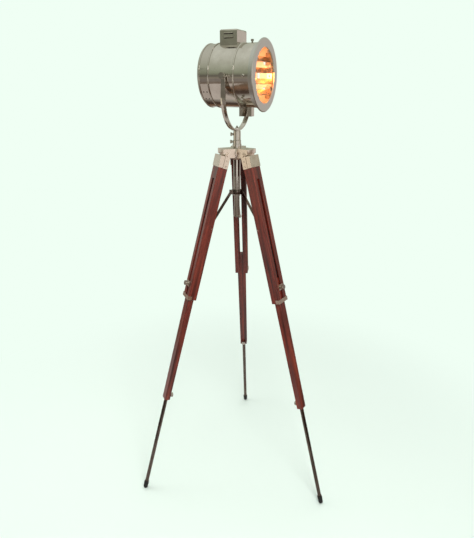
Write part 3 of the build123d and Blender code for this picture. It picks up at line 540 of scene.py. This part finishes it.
@dataclass
class Finishes:
    """Every material of the lamp, made once."""

    axis_height: float
    legs: dict[str, "LegFrame"]
    made: dict[str, bpy.types.Material] = field(default_factory=dict)

    def build(self) -> None:
        """Make the materials."""
        height = self.axis_height
        self.made["polished_nickel"] = PolishedNickel().material()
        self.made["drum_plate"] = DrumPlate(axis_height=height).material()
        self.made["satin_nickel"] = SatinNickel().material()
        self.made["warm_nickel"] = PolishedNickel(
            name="hand_polished_warm_nickel",
            pale="#EFE1D5",
            dark="#E2D2C5",
            cloud_mm=18.0,
            wave_mm=40.0,
            wave_height_mm=0.08,
            roughness=(0.23, 0.29),
        ).material()
        # Polished steel with painted dark reflections: its base colour is darkened to stand in for the dark
        # surroundings it mirrors
        self.made["steel_painted_dark_reflection"] = PolishedNickel(
            name="polished_steel_tube_painted_dark_reflection",
            pale="#7C7068",
            dark="#584D46",
            cloud_mm=30.0,
            wave_mm=120.0,
            wave_height_mm=0.04,
            roughness=(0.05, 0.12),
        ).material()
        self.made["bezel"] = SpunMetal(
            "satin_spun_nickel_bezel",
            "#C6C4BE",
            "#BFBDB7",
            height,
            ring_depth_mm=0.004,
            roughness=(0.30, 0.36),
        ).material()
        self.made["rear"] = SpunMetal(
            "polished_spun_nickel_back", "#C6C1B8", "#B0A99F", height, roughness=(0.06, 0.14)
        ).material()
        self.made["reflector"] = SpunMetal(
            "spun_aluminium_reflector", "#F1EADF", "#DED1C0", height, ring_mm=2.0, roughness=(0.34, 0.48)
        ).material()
        self.made["louvre"] = SatinNickel(
            name="rolled_nickel_louvre_sheet", pale="#E2D2C0", dark="#CBB9A4", roughness=(0.16, 0.26)
        ).material()
        self.made["rubber"] = Moulding("moulded_black_rubber", "#1D1C1B", "#111010", (0.55, 0.75)).material()
        self.made["holder"] = Moulding("moulded_phenolic", "#2A1D18", "#170F0C", (0.2, 0.3)).material()
        # Screw slots are dark blocks: painted shade standing in for the shadow inside a real slot
        self.made["slot"] = Moulding("shadowed_screw_slot", "#2B2A28", "#161514", (0.4, 0.6)).material()
        self.made["bulb"] = PearlGlass().material()
        for name, leg in self.legs.items():
            self.made[f"wood_{name}"] = Mahogany(f"french_polished_mahogany_{name}", leg.turn()).material()

    def dress(self, table: dict[str, Iterable[str]]) -> None:
        """Give CAD nodes their finishes.

        Args:
            table: The finishes' names, each with the CAD nodes that have it.
        """
        for finish, nodes in table.items():
            for node in nodes:
                slots = frame["nodes"][node].data.materials
                slots.clear()
                slots.append(self.made[finish])


@dataclass(frozen=True)
class LegFrame:
    """The directions of one leg, read from its joints."""

    name: str
    pivot: Vector
    across: Vector
    down: Vector

    @property
    def outward(self) -> Vector:
        """The direction from the column to the leg's outer face, square to the leg."""
        return self.down.cross(self.across)

    def turn(self) -> Matrix:
        """Return the rotation that lays the leg's length along Z."""
        return Matrix((self.outward, self.across, self.down))

    def point(self, along: float, out: float, side: float) -> Vector:
        """Place a point on the leg.

        Args:
            along: Distance down the leg from its pivot, in millimetres.
            out: Distance outward from the pivot, in millimetres.
            side: Distance across the leg, in millimetres.

        Returns:
            The point in metres.
        """
        return self.pivot + (self.down * along + self.outward * out + self.across * side) * MM


def leg_frames() -> dict[str, LegFrame]:
    """Read the three legs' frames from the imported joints.

    Returns:
        Leg names with their frames.
    """
    joints = {joint["name"]: joint for joint in frame["joints"]}
    legs = {}
    for name in ("front", "left", "right"):
        fold = joints[f"leg_fold_{name}"]
        down = -Vector(joints[f"leg_slide_{name}"]["axis"]).normalized()
        legs[name] = LegFrame(name, Vector(fold["pos_m"]), Vector(fold["axis"]).normalized(), down)
    return legs


def looking(origin: Vector, normal: Vector, upright: Vector) -> Matrix:
    """Make a placement whose Z is a surface normal.

    Args:
        origin: The place in metres.
        normal: The direction of local Z.
        upright: A direction that local X follows as far as it can.

    Returns:
        The placement.
    """
    z_axis = normal.normalized()
    x_axis = (upright - z_axis * upright.dot(z_axis)).normalized()
    y_axis = z_axis.cross(x_axis)
    turned = Matrix((x_axis, y_axis, z_axis)).transposed().to_4x4()
    return Matrix.Translation(origin) @ turned


def lathe(
    mesh: bmesh.types.BMesh,
    profile: Profile,
    places: Iterable[Matrix],
    segments: int = 28,
    hoop: bool = False,
) -> None:
    """Turn a profile about Z at each place.

    Args:
        mesh: The mesh that takes the turned shape.
        profile: Radius and height pairs in millimetres, from the bottom to the top.
        places: Where copies stand.
        segments: Steps round the turn.
        hoop: Whether the profile closes on itself round an open middle.
    """
    for place in places:
        rings = []
        for radius, height in profile:
            if radius < 1e-6:
                rings.append([mesh.verts.new(place @ Vector((0, 0, height * MM)))])
                continue
            ring = []
            for step in range(segments):
                angle = math.tau * step / segments
                local = Vector((radius * math.cos(angle), radius * math.sin(angle), height)) * MM
                ring.append(mesh.verts.new(place @ local))
            rings.append(ring)
        if hoop:
            rings.append(rings[0])
        for low, high in zip(rings, rings[1:]):
            for step in range(segments):
                after = (step + 1) % segments
                sides = ((low, step), (low, after), (high, after), (high, step))
                corners = [ring[place_on % len(ring)] for ring, place_on in sides]
                mesh.faces.new(list(dict.fromkeys(corners)))
        for ring in (rings[0], rings[-1]):
            if len(ring) > 1 and not hoop:
                mesh.faces.new(ring)


def block(mesh: bmesh.types.BMesh, size: tuple[float, float, float], places: Iterable[Matrix]) -> None:
    """Add a small block, centred, at each place.

    Args:
        mesh: The mesh that takes the blocks.
        size: Lengths along local X, Y and Z in millimetres.
        places: Where the blocks stand.
    """
    for place in places:
        bmesh.ops.create_cube(mesh, size=1.0, matrix=place @ Matrix.Diagonal((*(Vector(size) * MM), 1.0)))


def piece(
    name: str,
    body: str,
    material: bpy.types.Material,
    fill: Callable[[bmesh.types.BMesh], None],
    soften_mm: float = 0.0,
) -> None:
    """Make one piece that moves with a body.

    Args:
        name: The piece's name.
        body: The body that carries it.
        material: Its material.
        fill: What adds its geometry to a mesh.
        soften_mm: Width of the rounding on its edges, in millimetres.
    """
    mesh = bmesh.new()
    fill(mesh)
    bmesh.ops.recalc_face_normals(mesh, faces=mesh.faces)
    data = bpy.data.meshes.new(name)
    mesh.to_mesh(data)
    mesh.free()
    made = bpy.data.objects.new(name, data)
    bpy.context.scene.collection.objects.link(made)
    data.materials.append(material)
    data.shade_smooth()
    data.set_sharp_from_angle(angle=SHARP_ANGLE)
    if soften_mm:
        soften(made, soften_mm)
    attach(made, body)
    LOG.info("piece %s on %s", name, body)


def soften(made: bpy.types.Object, width_mm: float) -> None:
    """Round the sharp edges of an object.

    Args:
        made: The object.
        width_mm: Width of the rounding in millimetres.
    """
    rounding = made.modifiers.new("edge_rounding", "BEVEL")
    rounding.width = width_mm * MM
    rounding.segments = 2
    rounding.limit_method = "ANGLE"
    rounding.angle_limit = ROUNDED_ANGLE
    rounding.harden_normals = True


def ease(nodes: Iterable[str], width_mm: float) -> None:
    """Round the sharp edges of CAD nodes, as a file or a buffing mop leaves them.

    Args:
        nodes: The CAD nodes' names.
        width_mm: Width of the rounding in millimetres.
    """
    for node in nodes:
        made = frame["nodes"][node]
        joined = made.modifiers.new("joined_corners", "WELD")
        joined.merge_threshold = WELD_REACH
        soften(made, width_mm)


@dataclass
class ScrewSet:
    """Slotted round-head screws, all alike, on one body."""

    name: str
    body: str
    # Width and rise of a head
    size_mm: tuple[float, float]
    places: list[Matrix]
    # Shares of the radius and the rise, from the rim to the top
    dome: tuple[tuple[float, float], ...] = ((1.0, 0.0), (1.0, 0.3), (0.86, 0.7), (0.5, 0.95), (0.0, 1.0))
    segments: int = 20
    # Length and width as shares of the radius, depth and seat as shares of the rise
    slot_length: float = 1.5
    slot_width: float = 0.28
    slot_depth: float = 0.16
    slot_seat: float = 0.97

    def build(self, finishes: Finishes, metal: Metal) -> None:
        """Make the heads, with dark blocks on them as the painted shade of their slots.

        Args:
            finishes: The lamp's materials.
            metal: The plate of the heads.
        """
        width, rise = self.size_mm
        radius = width / 2
        profile = [(radius * wide, rise * high) for wide, high in self.dome]
        piece(
            f"{self.name}_heads",
            self.body,
            finishes.made[metal.value],
            lambda mesh: lathe(mesh, profile, self.places, self.segments),
        )
        seat = Matrix.Translation((0, 0, rise * self.slot_seat * MM))
        seats = [place @ seat for place in self.places]
        # The slot is a dark block laid across the dome, its darkness painted shade
        slot = (radius * self.slot_length, radius * self.slot_width, rise * self.slot_depth)
        piece(
            f"{self.name}_slots",
            self.body,
            finishes.made["slot"],
            lambda mesh: block(mesh, slot, seats),
        )


@dataclass
class LampHead:
    """The drum head: its finishes, screws, hood lips and the light inside it."""

    finishes: Finishes
    axis: Vector
    edge_mm: float = 0.4
    lip_reach_mm: float = 2.6
    lip_wall_mm: float = 0.8
    lip_length_mm: float = 28.0
    lip_lean_degrees: float = 38.0
    lip_edge_mm: float = 0.2
    hood_slot_drops_mm: tuple[float, float] = (9.0, 20.0)
    box_screw_mm: tuple[float, float] = (4.4, 1.3)
    box_screw_inset_mm: float = 6.0
    box_screw_drop_mm: float = 6.5
    bracket_screw_mm: tuple[float, float] = (5.0, 1.2)
    bracket_wall_mm: float = 1.2
    drum_screw_mm: tuple[float, float] = (8.5, 2.6)
    drum_screw_reach_mm: float = 57.0
    back_rings_mm: tuple[float, float] = (33.0, 68.0)
    back_ring_width_mm: float = 7.0
    back_ring_rise_mm: float = 1.6
    back_ring_root_mm: float = 0.6
    back_ring_segments: int = 96
    holder_screw_mm: tuple[float, float] = (5.0, 1.6)
    holder_screw_reach_mm: float = 10.0
    holder_screw_turns: tuple[int, int, int] = (30, 150, 270)
    glow_watts: float = 0.3
    glow_colour: str = "#FF964A"
    glow_radius: float = 0.018
    glow_gap: float = 0.022

    def dress(self) -> None:
        """Give the head's CAD nodes their finishes."""
        self.finishes.dress(
            {
                "polished_nickel": (
                    "vent_hood",
                    "switch_box",
                    "louvre_screws",
                    "pivot_studs",
                    "switch_bush",
                    "switch_lever",
                    "left_tilt_knob",
                    "right_tilt_knob",
                ),
                "drum_plate": ("front_drum", "main_drum"),
                "bezel": ("bezel",),
                "rear": ("rear_cap",),
                "reflector": ("reflector",),
                "louvre": ("louvre_slats", "louvre_brackets"),
                "holder": ("lamp_holder",),
                "bulb": ("bulb",),
                "rubber": ("cable_gland",),
            }
        )
        ease(("switch_box", "vent_hood"), self.edge_mm)

    def screws(self, name: str, size_mm: tuple[float, float], places: list[Matrix], metal: Metal) -> None:
        """Put screws on the head.

        Args:
            name: The screws' name.
            size_mm: Width and rise of a head in millimetres.
            places: Where they sit.
            metal: Their plate.
        """
        ScrewSet(name, "lamp_head", size_mm, places).build(self.finishes, metal)

    def hood_lips(self) -> None:
        """Fold a small weather lip out over each slot of the vent hood."""
        low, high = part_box("vent_hood")
        middle = (low.y + high.y) / 2
        size = (self.lip_reach_mm, self.lip_length_mm, self.lip_wall_mm)

        def fill(mesh: bmesh.types.BMesh) -> None:
            for side, face in ((-1, low.x), (1, high.x)):
                lean = Matrix.Rotation(side * math.radians(self.lip_lean_degrees), 4, "Y")
                shift = Matrix.Translation((side * self.lip_reach_mm / 2 * MM, 0, 0))
                for drop in self.hood_slot_drops_mm:
                    top = Vector((face, middle, high.z - drop * MM))
                    block(mesh, size, [Matrix.Translation(top) @ lean @ shift])

        plate = Metal.POLISHED.value
        piece("hood_slot_lips", "lamp_head", self.finishes.made[plate], fill, self.lip_edge_mm)

    def box_screws(self) -> None:
        """Put the screws along the top edge of the switch box's sides."""
        low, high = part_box("switch_box")
        inset = self.box_screw_inset_mm * MM
        height = high.z - self.box_screw_drop_mm * MM
        places = []
        for side, face in ((-1, low.x), (1, high.x)):
            for y in (low.y + inset, high.y - inset):
                places.append(looking(Vector((face, y, height)), Vector((side, 0, 0)), Vector((0, 1, 0.4))))
        self.screws("switch_box_screws", self.box_screw_mm, places, Metal.POLISHED)

    def bracket_screws(self) -> None:
        """Put the screws that hold each louvre bracket."""
        low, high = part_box("louvre_brackets")
        places = []
        for side, face in ((-1, low.x), (1, high.x)):
            inner = face - side * self.bracket_wall_mm * MM
            spot = Vector((inner, (low.y + high.y) / 2, self.axis.z))
            places.append(looking(spot, Vector((-side, 0, 0)), Vector((0, 1, 1))))
        self.screws("louvre_bracket_screws", self.bracket_screw_mm, places, Metal.SATIN)

    def drum_screws(self) -> None:
        """Put the large screw that goes through each side of the front drum into the louvre bracket."""
        low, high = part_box("front_drum")
        places = []
        for side, face in ((-1, low.x), (1, high.x)):
            spot = Vector((face, -self.drum_screw_reach_mm * MM, self.axis.z))
            places.append(looking(spot, Vector((side, 0, 0)), Vector((0, 1, 0.6))))
        self.screws("drum_screws", self.drum_screw_mm, places, Metal.POLISHED)

    def pressed_back(self) -> None:
        """Press two stiffening rings into the back and put the screws that hold the lamp holder."""
        backward = Vector((0, 1, 0))
        back = Vector((0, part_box("rear_cap")[1].y, self.axis.z))
        facing = looking(back, backward, Vector((1, 0, 0)))
        half, rise = self.back_ring_width_mm / 2, self.back_ring_rise_mm
        root = -self.back_ring_root_mm
        arch = [math.radians(step) for step in range(-90, 91, 15)]

        def fill(mesh: bmesh.types.BMesh) -> None:
            for middle in self.back_rings_mm:
                bead = [(middle + half * math.sin(turn), rise * math.cos(turn)) for turn in arch]
                profile = [(middle - half, root), *bead, (middle + half, root)]
                lathe(mesh, profile, [facing], self.back_ring_segments, hoop=True)

        piece("back_rings", "lamp_head", self.finishes.made["rear"], fill)
        places = []
        for degrees in self.holder_screw_turns:
            turn = math.radians(degrees)
            way = Vector((math.cos(turn), 0, math.sin(turn)))
            spot = back + way * self.holder_screw_reach_mm * MM
            places.append(looking(spot, backward, way.cross(Vector((0.3, 1, 0)))))
        self.screws("lamp_holder_screws", self.holder_screw_mm, places, Metal.POLISHED)

    def glow(self) -> None:
        """Hang the warm light in front of the bulb."""
        lamp = bpy.data.lights.new("bulb_glow", "POINT")
        lamp.energy = self.glow_watts
        lamp.color = linear(self.glow_colour)[:3]
        lamp.shadow_soft_size = self.glow_radius
        holder = bpy.data.objects.new("bulb_glow", lamp)
        holder.location = self.axis + Vector((0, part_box("bulb")[0].y - self.glow_gap, 0))
        bpy.context.scene.collection.objects.link(holder)
        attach(holder, "lamp_head")

    def build(self) -> None:
        """Dress the head and add its small fittings."""
        self.dress()
        self.hood_lips()
        self.box_screws()
        self.bracket_screws()
        self.drum_screws()
        self.pressed_back()
        self.glow()


@dataclass
class Column:
    """The yoke, column, clamps, crown and spreader."""

    finishes: Finishes
    casting_edge_mm: float = 0.6
    strip_edge_mm: float = 0.4

    def build(self) -> None:
        """Give the column's CAD nodes their finishes."""
        struts = ("front_strut", "left_strut", "right_strut")
        self.finishes.dress(
            {
                "polished_nickel": (
                    "guide_tube",
                    "column_tube",
                    "column_end_cap",
                    "pan_socket",
                    "clamp_collar",
                    "pan_knob",
                    "column_knob",
                    "yoke_stud",
                    "yoke",
                ),
                "warm_nickel": ("crown",),
                # Struts, collar and pins take the steel with painted dark reflections
                "steel_painted_dark_reflection": ("spreader_collar", "spreader_pins", *struts),
            }
        )
        ease(("crown", "spreader_collar"), self.casting_edge_mm)
        ease((*struts, "yoke"), self.strip_edge_mm)


@dataclass
class Leg:
    """One leg: its wood, its plated fittings and the ribs of its rubber foot."""

    finishes: Finishes
    frame: LegFrame
    wood_edge_mm: float = 1.0
    metal_edge_mm: float = 0.4
    # Distance of the strap screws' heads from the leg's middle
    strap_face_mm: float = 27.45
    screw_places_mm: tuple[float, float] = (18.5, 34.5)
    screw_slot_mm: tuple[float, float, float] = (3.4, 0.7, 0.2)
    # How far out the foot's middle lies from the pivot
    foot_out_mm: float = 6.5
    foot_ribs_mm: tuple[float, ...] = (1242.0, 1246.0, 1250.0)
    rib_profile_mm: tuple[tuple[float, float], ...] = ((7.6, -0.9), (8.6, -0.4), (8.6, 0.4), (7.6, 0.9))

    def dress(self) -> None:
        """Give the leg's CAD nodes their finishes."""
        name = self.frame.name
        table = {
            f"wood_{name}": ("leg_rails", "leg_middle"),
            "warm_nickel": ("leg_cap", "leg_clip", "leg_straps"),
            "polished_nickel": ("upper_knob", "lower_knob"),
            # The lower tube takes the steel with painted dark reflections
            "steel_painted_dark_reflection": ("leg_tube",),
            "rubber": ("leg_foot",),
        }
        self.finishes.dress({finish: [f"{name}_{node}" for node in nodes] for finish, nodes in table.items()})
        ease((f"{name}_leg_middle",), self.wood_edge_mm)
        ease((f"{name}_leg_cap", f"{name}_leg_straps", f"{name}_leg_clip"), self.metal_edge_mm)

    def screw_slots(self) -> None:
        """Lay dark blocks on the strap screws as the painted shade of their slots."""
        leg = self.frame
        slant = leg.down + leg.outward * 0.7
        places = []
        for side in (-1, 1):
            for along in self.screw_places_mm:
                spot = leg.point(along, 0, side * self.strap_face_mm)
                places.append(looking(spot, leg.across * side, slant))
        # Dark blocks paint the shade of the slots on the strap screws' heads
        piece(
            f"{leg.name}_strap_screw_slots",
            f"{leg.name}_leg",
            self.finishes.made["slot"],
            lambda mesh: block(mesh, self.screw_slot_mm, places),
        )

    def foot_ribs(self) -> None:
        """Mould the grip ribs round the rubber foot."""
        leg = self.frame
        places = []
        for along in self.foot_ribs_mm:
            places.append(looking(leg.point(along, self.foot_out_mm, 0), leg.down, leg.outward))
        piece(
            f"{leg.name}_foot_ribs",
            f"{leg.name}_tube",
            self.finishes.made["rubber"],
            lambda mesh: lathe(mesh, list(self.rib_profile_mm), places, hoop=True),
        )

    def build(self) -> None:
        """Dress the leg and add its small fittings."""
        self.dress()
        self.screw_slots()
        self.foot_ribs()


def sheet(name: str, half: float) -> bpy.types.Object:
    """Make a level square sheet about the origin.

    Args:
        name: The sheet's name.
        half: Half its width in metres.

    Returns:
        The sheet, without a material.
    """
    mesh = bmesh.new()
    bmesh.ops.create_grid(mesh, x_segments=1, y_segments=1, size=half)
    data = bpy.data.meshes.new(name)
    mesh.to_mesh(data)
    mesh.free()
    made = bpy.data.objects.new(name, data)
    bpy.context.scene.collection.objects.link(made)
    return made


class Glow(Enum):
    """Which kind of glow a shader has, by the name of its node and output."""

    SURFACE = "Emission"
    WORLD = "Background"


def add_glow(tree: Tree, kind: Glow, colour: Any, strength: float = 1.0) -> Socket:
    """Add a plain glow.

    Args:
        tree: The node tree that takes the node.
        kind: Whether a surface or the world glows.
        colour: A linear colour, or the socket that feeds it.
        strength: How bright it is.

    Returns:
        The shader output.
    """
    inputs = {"Color": colour, "Strength": strength}
    return add_node(tree, f"ShaderNode{kind.value}", {}, inputs).outputs[kind.value]


def mix_shaders(tree: Tree, share: Socket, first: Socket, second: Socket) -> Socket:
    """Mix two shaders.

    Args:
        tree: The node tree that takes the node.
        share: The second shader's share, from 0 to 1.
        first: The first shader.
        second: The second shader.

    Returns:
        The mixed shader.
    """
    return add_node(tree, "ShaderNodeMixShader", {}, {0: share, 1: first, 2: second}).outputs["Shader"]


@dataclass(frozen=True)
class Softbox:
    """A soft light that polished metal doesn't mirror."""

    name: str
    place: Place
    size: tuple[float, float]
    watts: float
    target: Place = (0.0, 0.0, 1.1)

    def hang(self) -> None:
        """Hang the light."""
        lamp = bpy.data.lights.new(self.name, "AREA")
        lamp.shape = "RECTANGLE"
        lamp.size, lamp.size_y = self.size
        lamp.energy = self.watts
        holder = bpy.data.objects.new(self.name, lamp)
        holder.location = self.place
        facing = Vector(self.target) - Vector(self.place)
        holder.rotation_euler = facing.to_track_quat("-Z", "Y").to_euler()
        holder.visible_glossy = False
        bpy.context.scene.collection.objects.link(holder)


@dataclass(frozen=True)
class Card:
    """A card that only polished metal sees. A strength of 1 is paper white."""

    name: str
    place: Place
    size: tuple[float, float]
    colour: str
    strength: float = 1.0
    target: Place = (0.0, 0.0, 1.4)

    def stand(self) -> None:
        """Stand the card."""
        made = sheet(self.name, 0.5)
        made.location = self.place
        facing = Vector(self.target) - Vector(self.place)
        made.rotation_euler = facing.to_track_quat("Z", "Y").to_euler()
        made.scale = (*self.size, 1.0)
        for sight in ("visible_camera", "visible_diffuse", "visible_shadow", "visible_transmission"):
            setattr(made, sight, False)
        material = bpy.data.materials.new(self.name)
        material.use_nodes = True
        tree = material.node_tree
        tree.nodes.clear()
        glow = add_glow(tree, Glow.SURFACE, linear(self.colour), self.strength)
        add_node(tree, "ShaderNodeOutputMaterial", {}, {"Surface": glow})
        made.data.materials.append(material)


SOFTBOXES = (
    Softbox("key_light", (-2.0, -1.6, 2.6), (1.2, 1.2), 70.0),
    Softbox("fill_light", (-0.6, 2.6, 1.8), (1.4, 1.6), 30.0),
    Softbox("top_light", (0.4, 0.0, 3.4), (2.2, 2.2), 45.0),
)

CARDS = (
    Card("key_card", (-2.0, -1.6, 2.6), (0.6, 0.6), "#FFFFFF", 5.0, target=(0.0, 0.0, 1.1)),
    Card("dark_card_left", (-1.9, 1.6, 1.95), (0.7, 1.1), "#3A3632"),
    Card("pale_card_front", (-0.5, -2.6, 1.5), (2.2, 2.0), "#E6E1D8", 1.2),
    Card("pale_card_side", (2.2, -1.1, 1.45), (1.5, 2.0), "#DDD5CE"),
    Card("dark_card_low", (-1.6, -0.2, 0.35), (1.8, 0.5), "#6E675E"),
    Card("pale_card_back", (1.9, 1.9, 1.0), (1.8, 2.0), "#CFCCC5"),
    Card("pale_card_far", (0.5, 2.6, 1.2), (2.0, 1.4), "#C6CBBF"),
    Card("pale_card_near", (-2.5, -1.25, 1.1), (1.5, 1.0), "#F0EEE9", 1.3),
    Card("pale_card_leg", (-1.5, 1.85, 0.85), (1.0, 0.8), "#EFE6D0", 1.1),
    # Lies almost level, and its slight tip sets which way its long edge runs
    Card("pale_card_floor", (-1.11, 1.50, 0.08), (2.7, 1.4), "#D6CCC6", target=(-1.085, 1.597, 1.08)),
)


@dataclass
class Studio:
    """A pale floor, soft lights, cards for the plate to mirror, and the camera."""

    backdrop: str = "#F0FFF4"
    daylight: str = "#F4F6F4"
    daylight_strength: float = 0.45
    room: tuple[tuple[float, str], ...] = (
        (0.0, "#BDB6AA"),
        (0.44, "#A39C8E"),
        (0.5, "#77736A"),
        (0.58, "#A3AA95"),
        (0.75, "#C9CFBF"),
        (1.0, "#F0F4EC"),
    )
    paper: str = "#DEEBE1"
    paper_roughness: float = 0.9
    paper_sheen: float = 0.1
    # Where the floor starts and ends to fade into the backdrop, in metres from the lamp
    fade_from: float = 0.5
    fade_to: float = 1.5
    boards: tuple[tuple[float, str], ...] = (
        (0.0, "#D2CFC9"),
        (0.12, "#CBC7C0"),
        (0.19, "#5E4E45"),
        (0.25, "#54453C"),
        (0.36, "#8E6E58"),
        (0.55, "#83705F"),
        (1.0, "#968E88"),
    )
    boards_reach: float = 5.0
    floor_half: float = 9.0
    camera_turn: float = -65.8
    camera_distance: float = 1.496
    camera_height: float = 1.428
    camera_pitch: float = 21.7
    camera_near: float = 0.02
    sensor_width: float = 36.0
    lens: float = 31.2

    def world(self) -> None:
        """Light the scene evenly from all round, pale where it is seen."""
        world = bpy.data.worlds.new("studio")
        bpy.context.scene.world = world
        world.use_nodes = True
        tree = world.node_tree
        tree.nodes.clear()
        path = add_node(tree, "ShaderNodeLightPath", {}, {})
        seen = add_node(
            tree,
            "ShaderNodeMath",
            {"operation": "MAXIMUM"},
            {0: path.outputs["Is Camera Ray"], 1: path.outputs["Is Transmission Ray"]},
        ).outputs["Value"]
        shown = add_glow(tree, Glow.WORLD, linear(self.backdrop))
        light = add_glow(tree, Glow.WORLD, linear(self.daylight), self.daylight_strength)
        # Polished metal mirrors the room, darkest along the horizon and palest overhead
        way = add_node(tree, "ShaderNodeTexCoord", {}, {}).outputs["Generated"]
        height = add_node(tree, "ShaderNodeSeparateXYZ", {}, {0: way}).outputs["Z"]
        rise = map_range(tree, height, {"From Min": -1.0, "From Max": 1.0})
        walls = add_glow(tree, Glow.WORLD, blend_colours(tree, rise, self.room))
        plain = mix_shaders(tree, path.outputs["Is Glossy Ray"], light, walls)
        mixed = mix_shaders(tree, seen, plain, shown)
        add_node(tree, "ShaderNodeOutputWorld", {}, {"Surface": mixed})

    def floor(self) -> None:
        """Lay the pale floor, which fades into the backdrop far from the lamp."""
        made = sheet("floor", self.floor_half)
        material, tree, shader = new_material("matt_studio_paper")
        shader.inputs["Base Color"].default_value = linear(self.paper)
        shader.inputs["Roughness"].default_value = self.paper_roughness
        shader.inputs["Specular IOR Level"].default_value = self.paper_sheen
        place = object_place(tree)
        away = add_node(tree, "ShaderNodeVectorMath", {"operation": "LENGTH"}, {0: place}).outputs["Value"]
        span = {"From Min": self.fade_from, "From Max": self.fade_to}
        fade = map_range(tree, away, span, "SMOOTHSTEP")
        plain = add_glow(tree, Glow.SURFACE, linear(self.backdrop))
        paper = mix_shaders(tree, fade, shader.outputs["BSDF"], plain)
        # Polished metal mirrors a floor that is pale near the lamp and brown further off
        stride = map_range(tree, away, {"From Max": self.boards_reach})
        boards = add_glow(tree, Glow.SURFACE, blend_colours(tree, stride, self.boards))
        path = add_node(tree, "ShaderNodeLightPath", {}, {})
        shown = mix_shaders(tree, path.outputs["Is Glossy Ray"], paper, boards)
        tree.links.new(shown, tree.nodes["Material Output"].inputs["Surface"])
        made.data.materials.append(material)

    def camera(self) -> None:
        """Stand the camera where the photograph was taken from."""
        turn, pitch = math.radians(self.camera_turn), math.radians(self.camera_pitch)
        data = bpy.data.cameras.new("camera")
        data.lens = self.lens
        data.sensor_width = self.sensor_width
        data.clip_start = self.camera_near
        made = bpy.data.objects.new("camera", data)
        back = Vector((math.sin(turn), -math.cos(turn), 0))
        made.location = back * self.camera_distance + Vector((0, 0, self.camera_height))
        look = -back * math.cos(pitch) - Vector((0, 0, math.sin(pitch)))
        made.rotation_euler = look.to_track_quat("-Z", "Y").to_euler()
        bpy.context.scene.collection.objects.link(made)
        bpy.context.scene.camera = made

    def build(self) -> None:
        """Set up the whole studio."""
        bpy.context.scene.view_settings.view_transform = "Standard"
        self.world()
        self.floor()
        for softbox in SOFTBOXES:
            softbox.hang()
        for card in CARDS:
            card.stand()
        self.camera()


def main() -> None:
    """Build the classes in order."""
    logging.basicConfig(level=logging.INFO)
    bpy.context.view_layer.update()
    legs = leg_frames()
    low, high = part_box("bezel")
    axis = (low + high) / 2
    axis.y = 0.0
    Studio().build()
    finishes = Finishes(axis.z, legs)
    finishes.build()
    LampHead(finishes, axis).build()
    Column(finishes).build()
    for leg in legs.values():
        Leg(finishes, leg).build()


if __name__ == "__main__":
    main()
